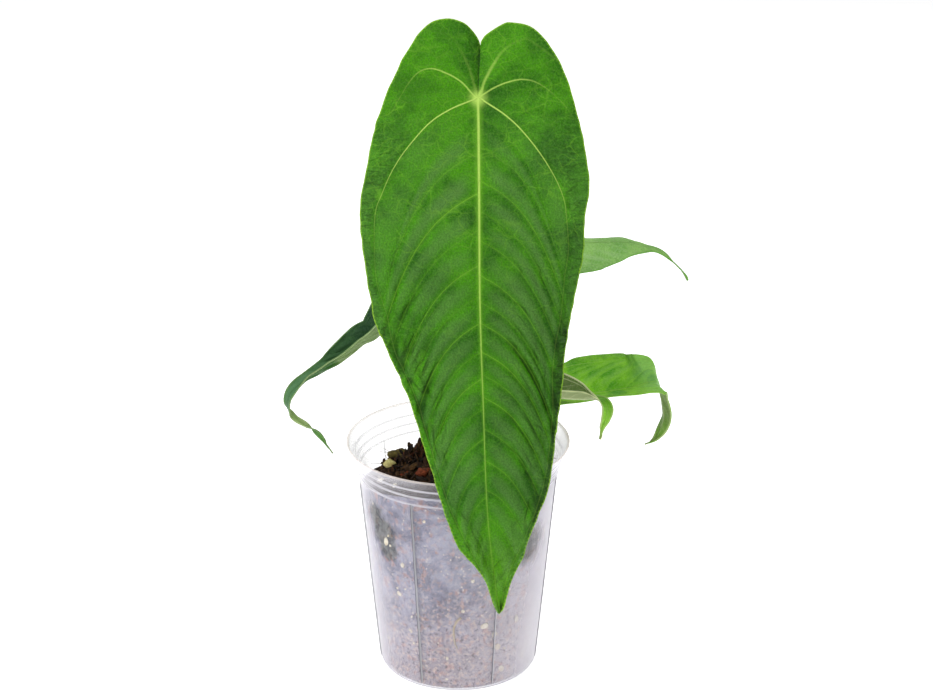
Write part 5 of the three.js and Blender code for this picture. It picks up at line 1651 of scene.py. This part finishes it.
def add_perlite():
    """White crumbs on the mound and against the wall, none of them through the wall."""
    rng = random.Random(PERLITE_SEED)
    bm = bmesh.new()
    places = []
    for _ in range(TOP_PERLITE_COUNT):
        x, y, z = on_mound(rng, 47)
        places.append(((x, y, z + 0.4), rng.uniform(1.4, 3.0)))
    for azimuth, height, size in WALL_PEBBLES:
        places.append((on_wall(azimuth, height, size * 0.08), size))
    for _ in range(BACK_PERLITE_COUNT):
        places.append((on_wall(rng.uniform(-10, 200), rng.uniform(4, 98), 0.8), rng.uniform(1.2, 3.6)))
    for _ in range(FRONT_PERLITE_COUNT):
        places.append((on_wall(rng.uniform(-160, -15), rng.uniform(4, 104), 0.5), rng.uniform(0.7, 1.6)))
    for place, size in places:
        part = bmesh.new()
        bmesh.ops.create_icosphere(part, subdivisions=2, radius=0.5)
        stretch = [size * rng.uniform(low, high) for low, high in ((0.8, 1.3), (0.8, 1.2), (0.6, 1.0))]
        spin = Euler((rng.uniform(0, 3), rng.uniform(0, 3), rng.uniform(0, 3))).to_matrix()
        for vert in part.verts:
            local = vert.co * (1 + rng.uniform(-0.16, 0.16))
            stretched = Vector([share * length for share, length in zip(local, stretch)])
            point = spin @ stretched + Vector(place)
            limit = float(wall_radius(point.z)) - WALL - 0.2
            out = math.hypot(point.x, point.y)
            if out > limit:
                point.x *= limit / out
                point.y *= limit / out
            vert.co = point * MM
        add_part(bm, part)
    white = stone_material("perlite", colour(252, 246, 228), colour(222, 206, 178))
    place_on(as_object("perlite_bits", bm, [white]), slot="pumice")


add_mix()
add_bark()
add_lump("bark_chip_red", stone_material("red_bark", colour(140, 66, 36), colour(66, 28, 14)),
         slot="bark_red", depth=0.7, scale=0.5)
add_lump("bark_chip_olive", stone_material("olive_bark", colour(104, 92, 44), colour(48, 36, 18)),
         slot="bark_olive", depth=0.8, scale=0.45)
add_lump("pumice_pebble", stone_material("pale_pumice", colour(214, 204, 140), colour(170, 152, 92)),
         slot="pumice", depth=0.35, scale=0.7)
add_roots_and_fibres()
add_perlite()


# Floor, light and camera

# Softboxes as (name, place, the point that they face, size, power), in metres and watts
SOFTBOXES = (
    ("key_left", (-1.2, -0.8, 1.5), (0, 0, 0.2), (0.55, 0.55), 17),
    ("overhead", (0.1, -0.4, 1.9), (0, 0, 0.15), (1.4, 1.0), 14),
    ("fill_right", (1.5, -0.9, 0.8), (0, 0, 0.2), (1.2, 1.2), 4),
    ("back_glow", (0.2, 1.5, 1.2), (0, 0, 0.2), (1.6, 1.2), 6))

FLOOR_REACH = 12
FLOOR_GLOW = 0.7
SKY_LIGHT = 0.2
SKY_SEEN = 1.0

CAMERA_PLACE = (0, -0.889145, 0.513555)
CAMERA_TURN_DEGREES = (69.47, 0, -0.29)
CAMERA_LENS = 69.453
SENSOR_WIDTH = 36


def add_floor():
    """The pale ground that the pot stands on."""
    bm = bmesh.new()
    bmesh.ops.create_grid(bm, x_segments=2, y_segments=2, size=FLOOR_REACH)
    material, _, shader = new_material("pale_floor", Roughness=0.9, Specular_IOR_Level=0.1)
    shader["Base Color"].default_value = (0.93, 0.93, 0.93, 1)
    shader["Emission Color"].default_value = (1, 1, 1, 1)
    shader["Emission Strength"].default_value = FLOOR_GLOW
    floor = as_object("floor", bm, [material], smooth=False)


def add_softbox(name, place, aim, size, power):
    """A rectangular lamp that faces a point."""
    light = bpy.data.lights.new(name, "AREA")
    light.shape = "RECTANGLE"
    light.size, light.size_y = size
    light.energy = power
    lamp = bpy.data.objects.new(name, light)
    lamp.location = place
    lamp.rotation_euler = (Vector(aim) - Vector(place)).to_track_quat("-Z", "Y").to_euler()
    scene.collection.objects.link(lamp)


def add_sky():
    """A white surround, brighter to the camera than it is as light."""
    world = bpy.data.worlds.new("studio")
    world.use_nodes = True
    background = world.node_tree.nodes["Background"].inputs
    background["Color"].default_value = (1, 1, 1, 1)
    w = Wiring(world.node_tree)
    seen = w.node("ShaderNodeLightPath").outputs["Is Camera Ray"]
    w.feed(background["Strength"], w.math("MULTIPLY_ADD", seen, SKY_SEEN - SKY_LIGHT, SKY_LIGHT))
    scene.world = world


def add_camera():
    """The viewpoint of the photograph."""
    lens = bpy.data.cameras.new("camera")
    lens.sensor_width = SENSOR_WIDTH
    lens.lens = CAMERA_LENS
    camera = bpy.data.objects.new("camera", lens)
    camera.location = CAMERA_PLACE
    camera.rotation_euler = [math.radians(angle) for angle in CAMERA_TURN_DEGREES]
    scene.collection.objects.link(camera)
    scene.camera = camera


add_floor()
for softbox in SOFTBOXES:
    add_softbox(*softbox)
add_sky()
add_camera()
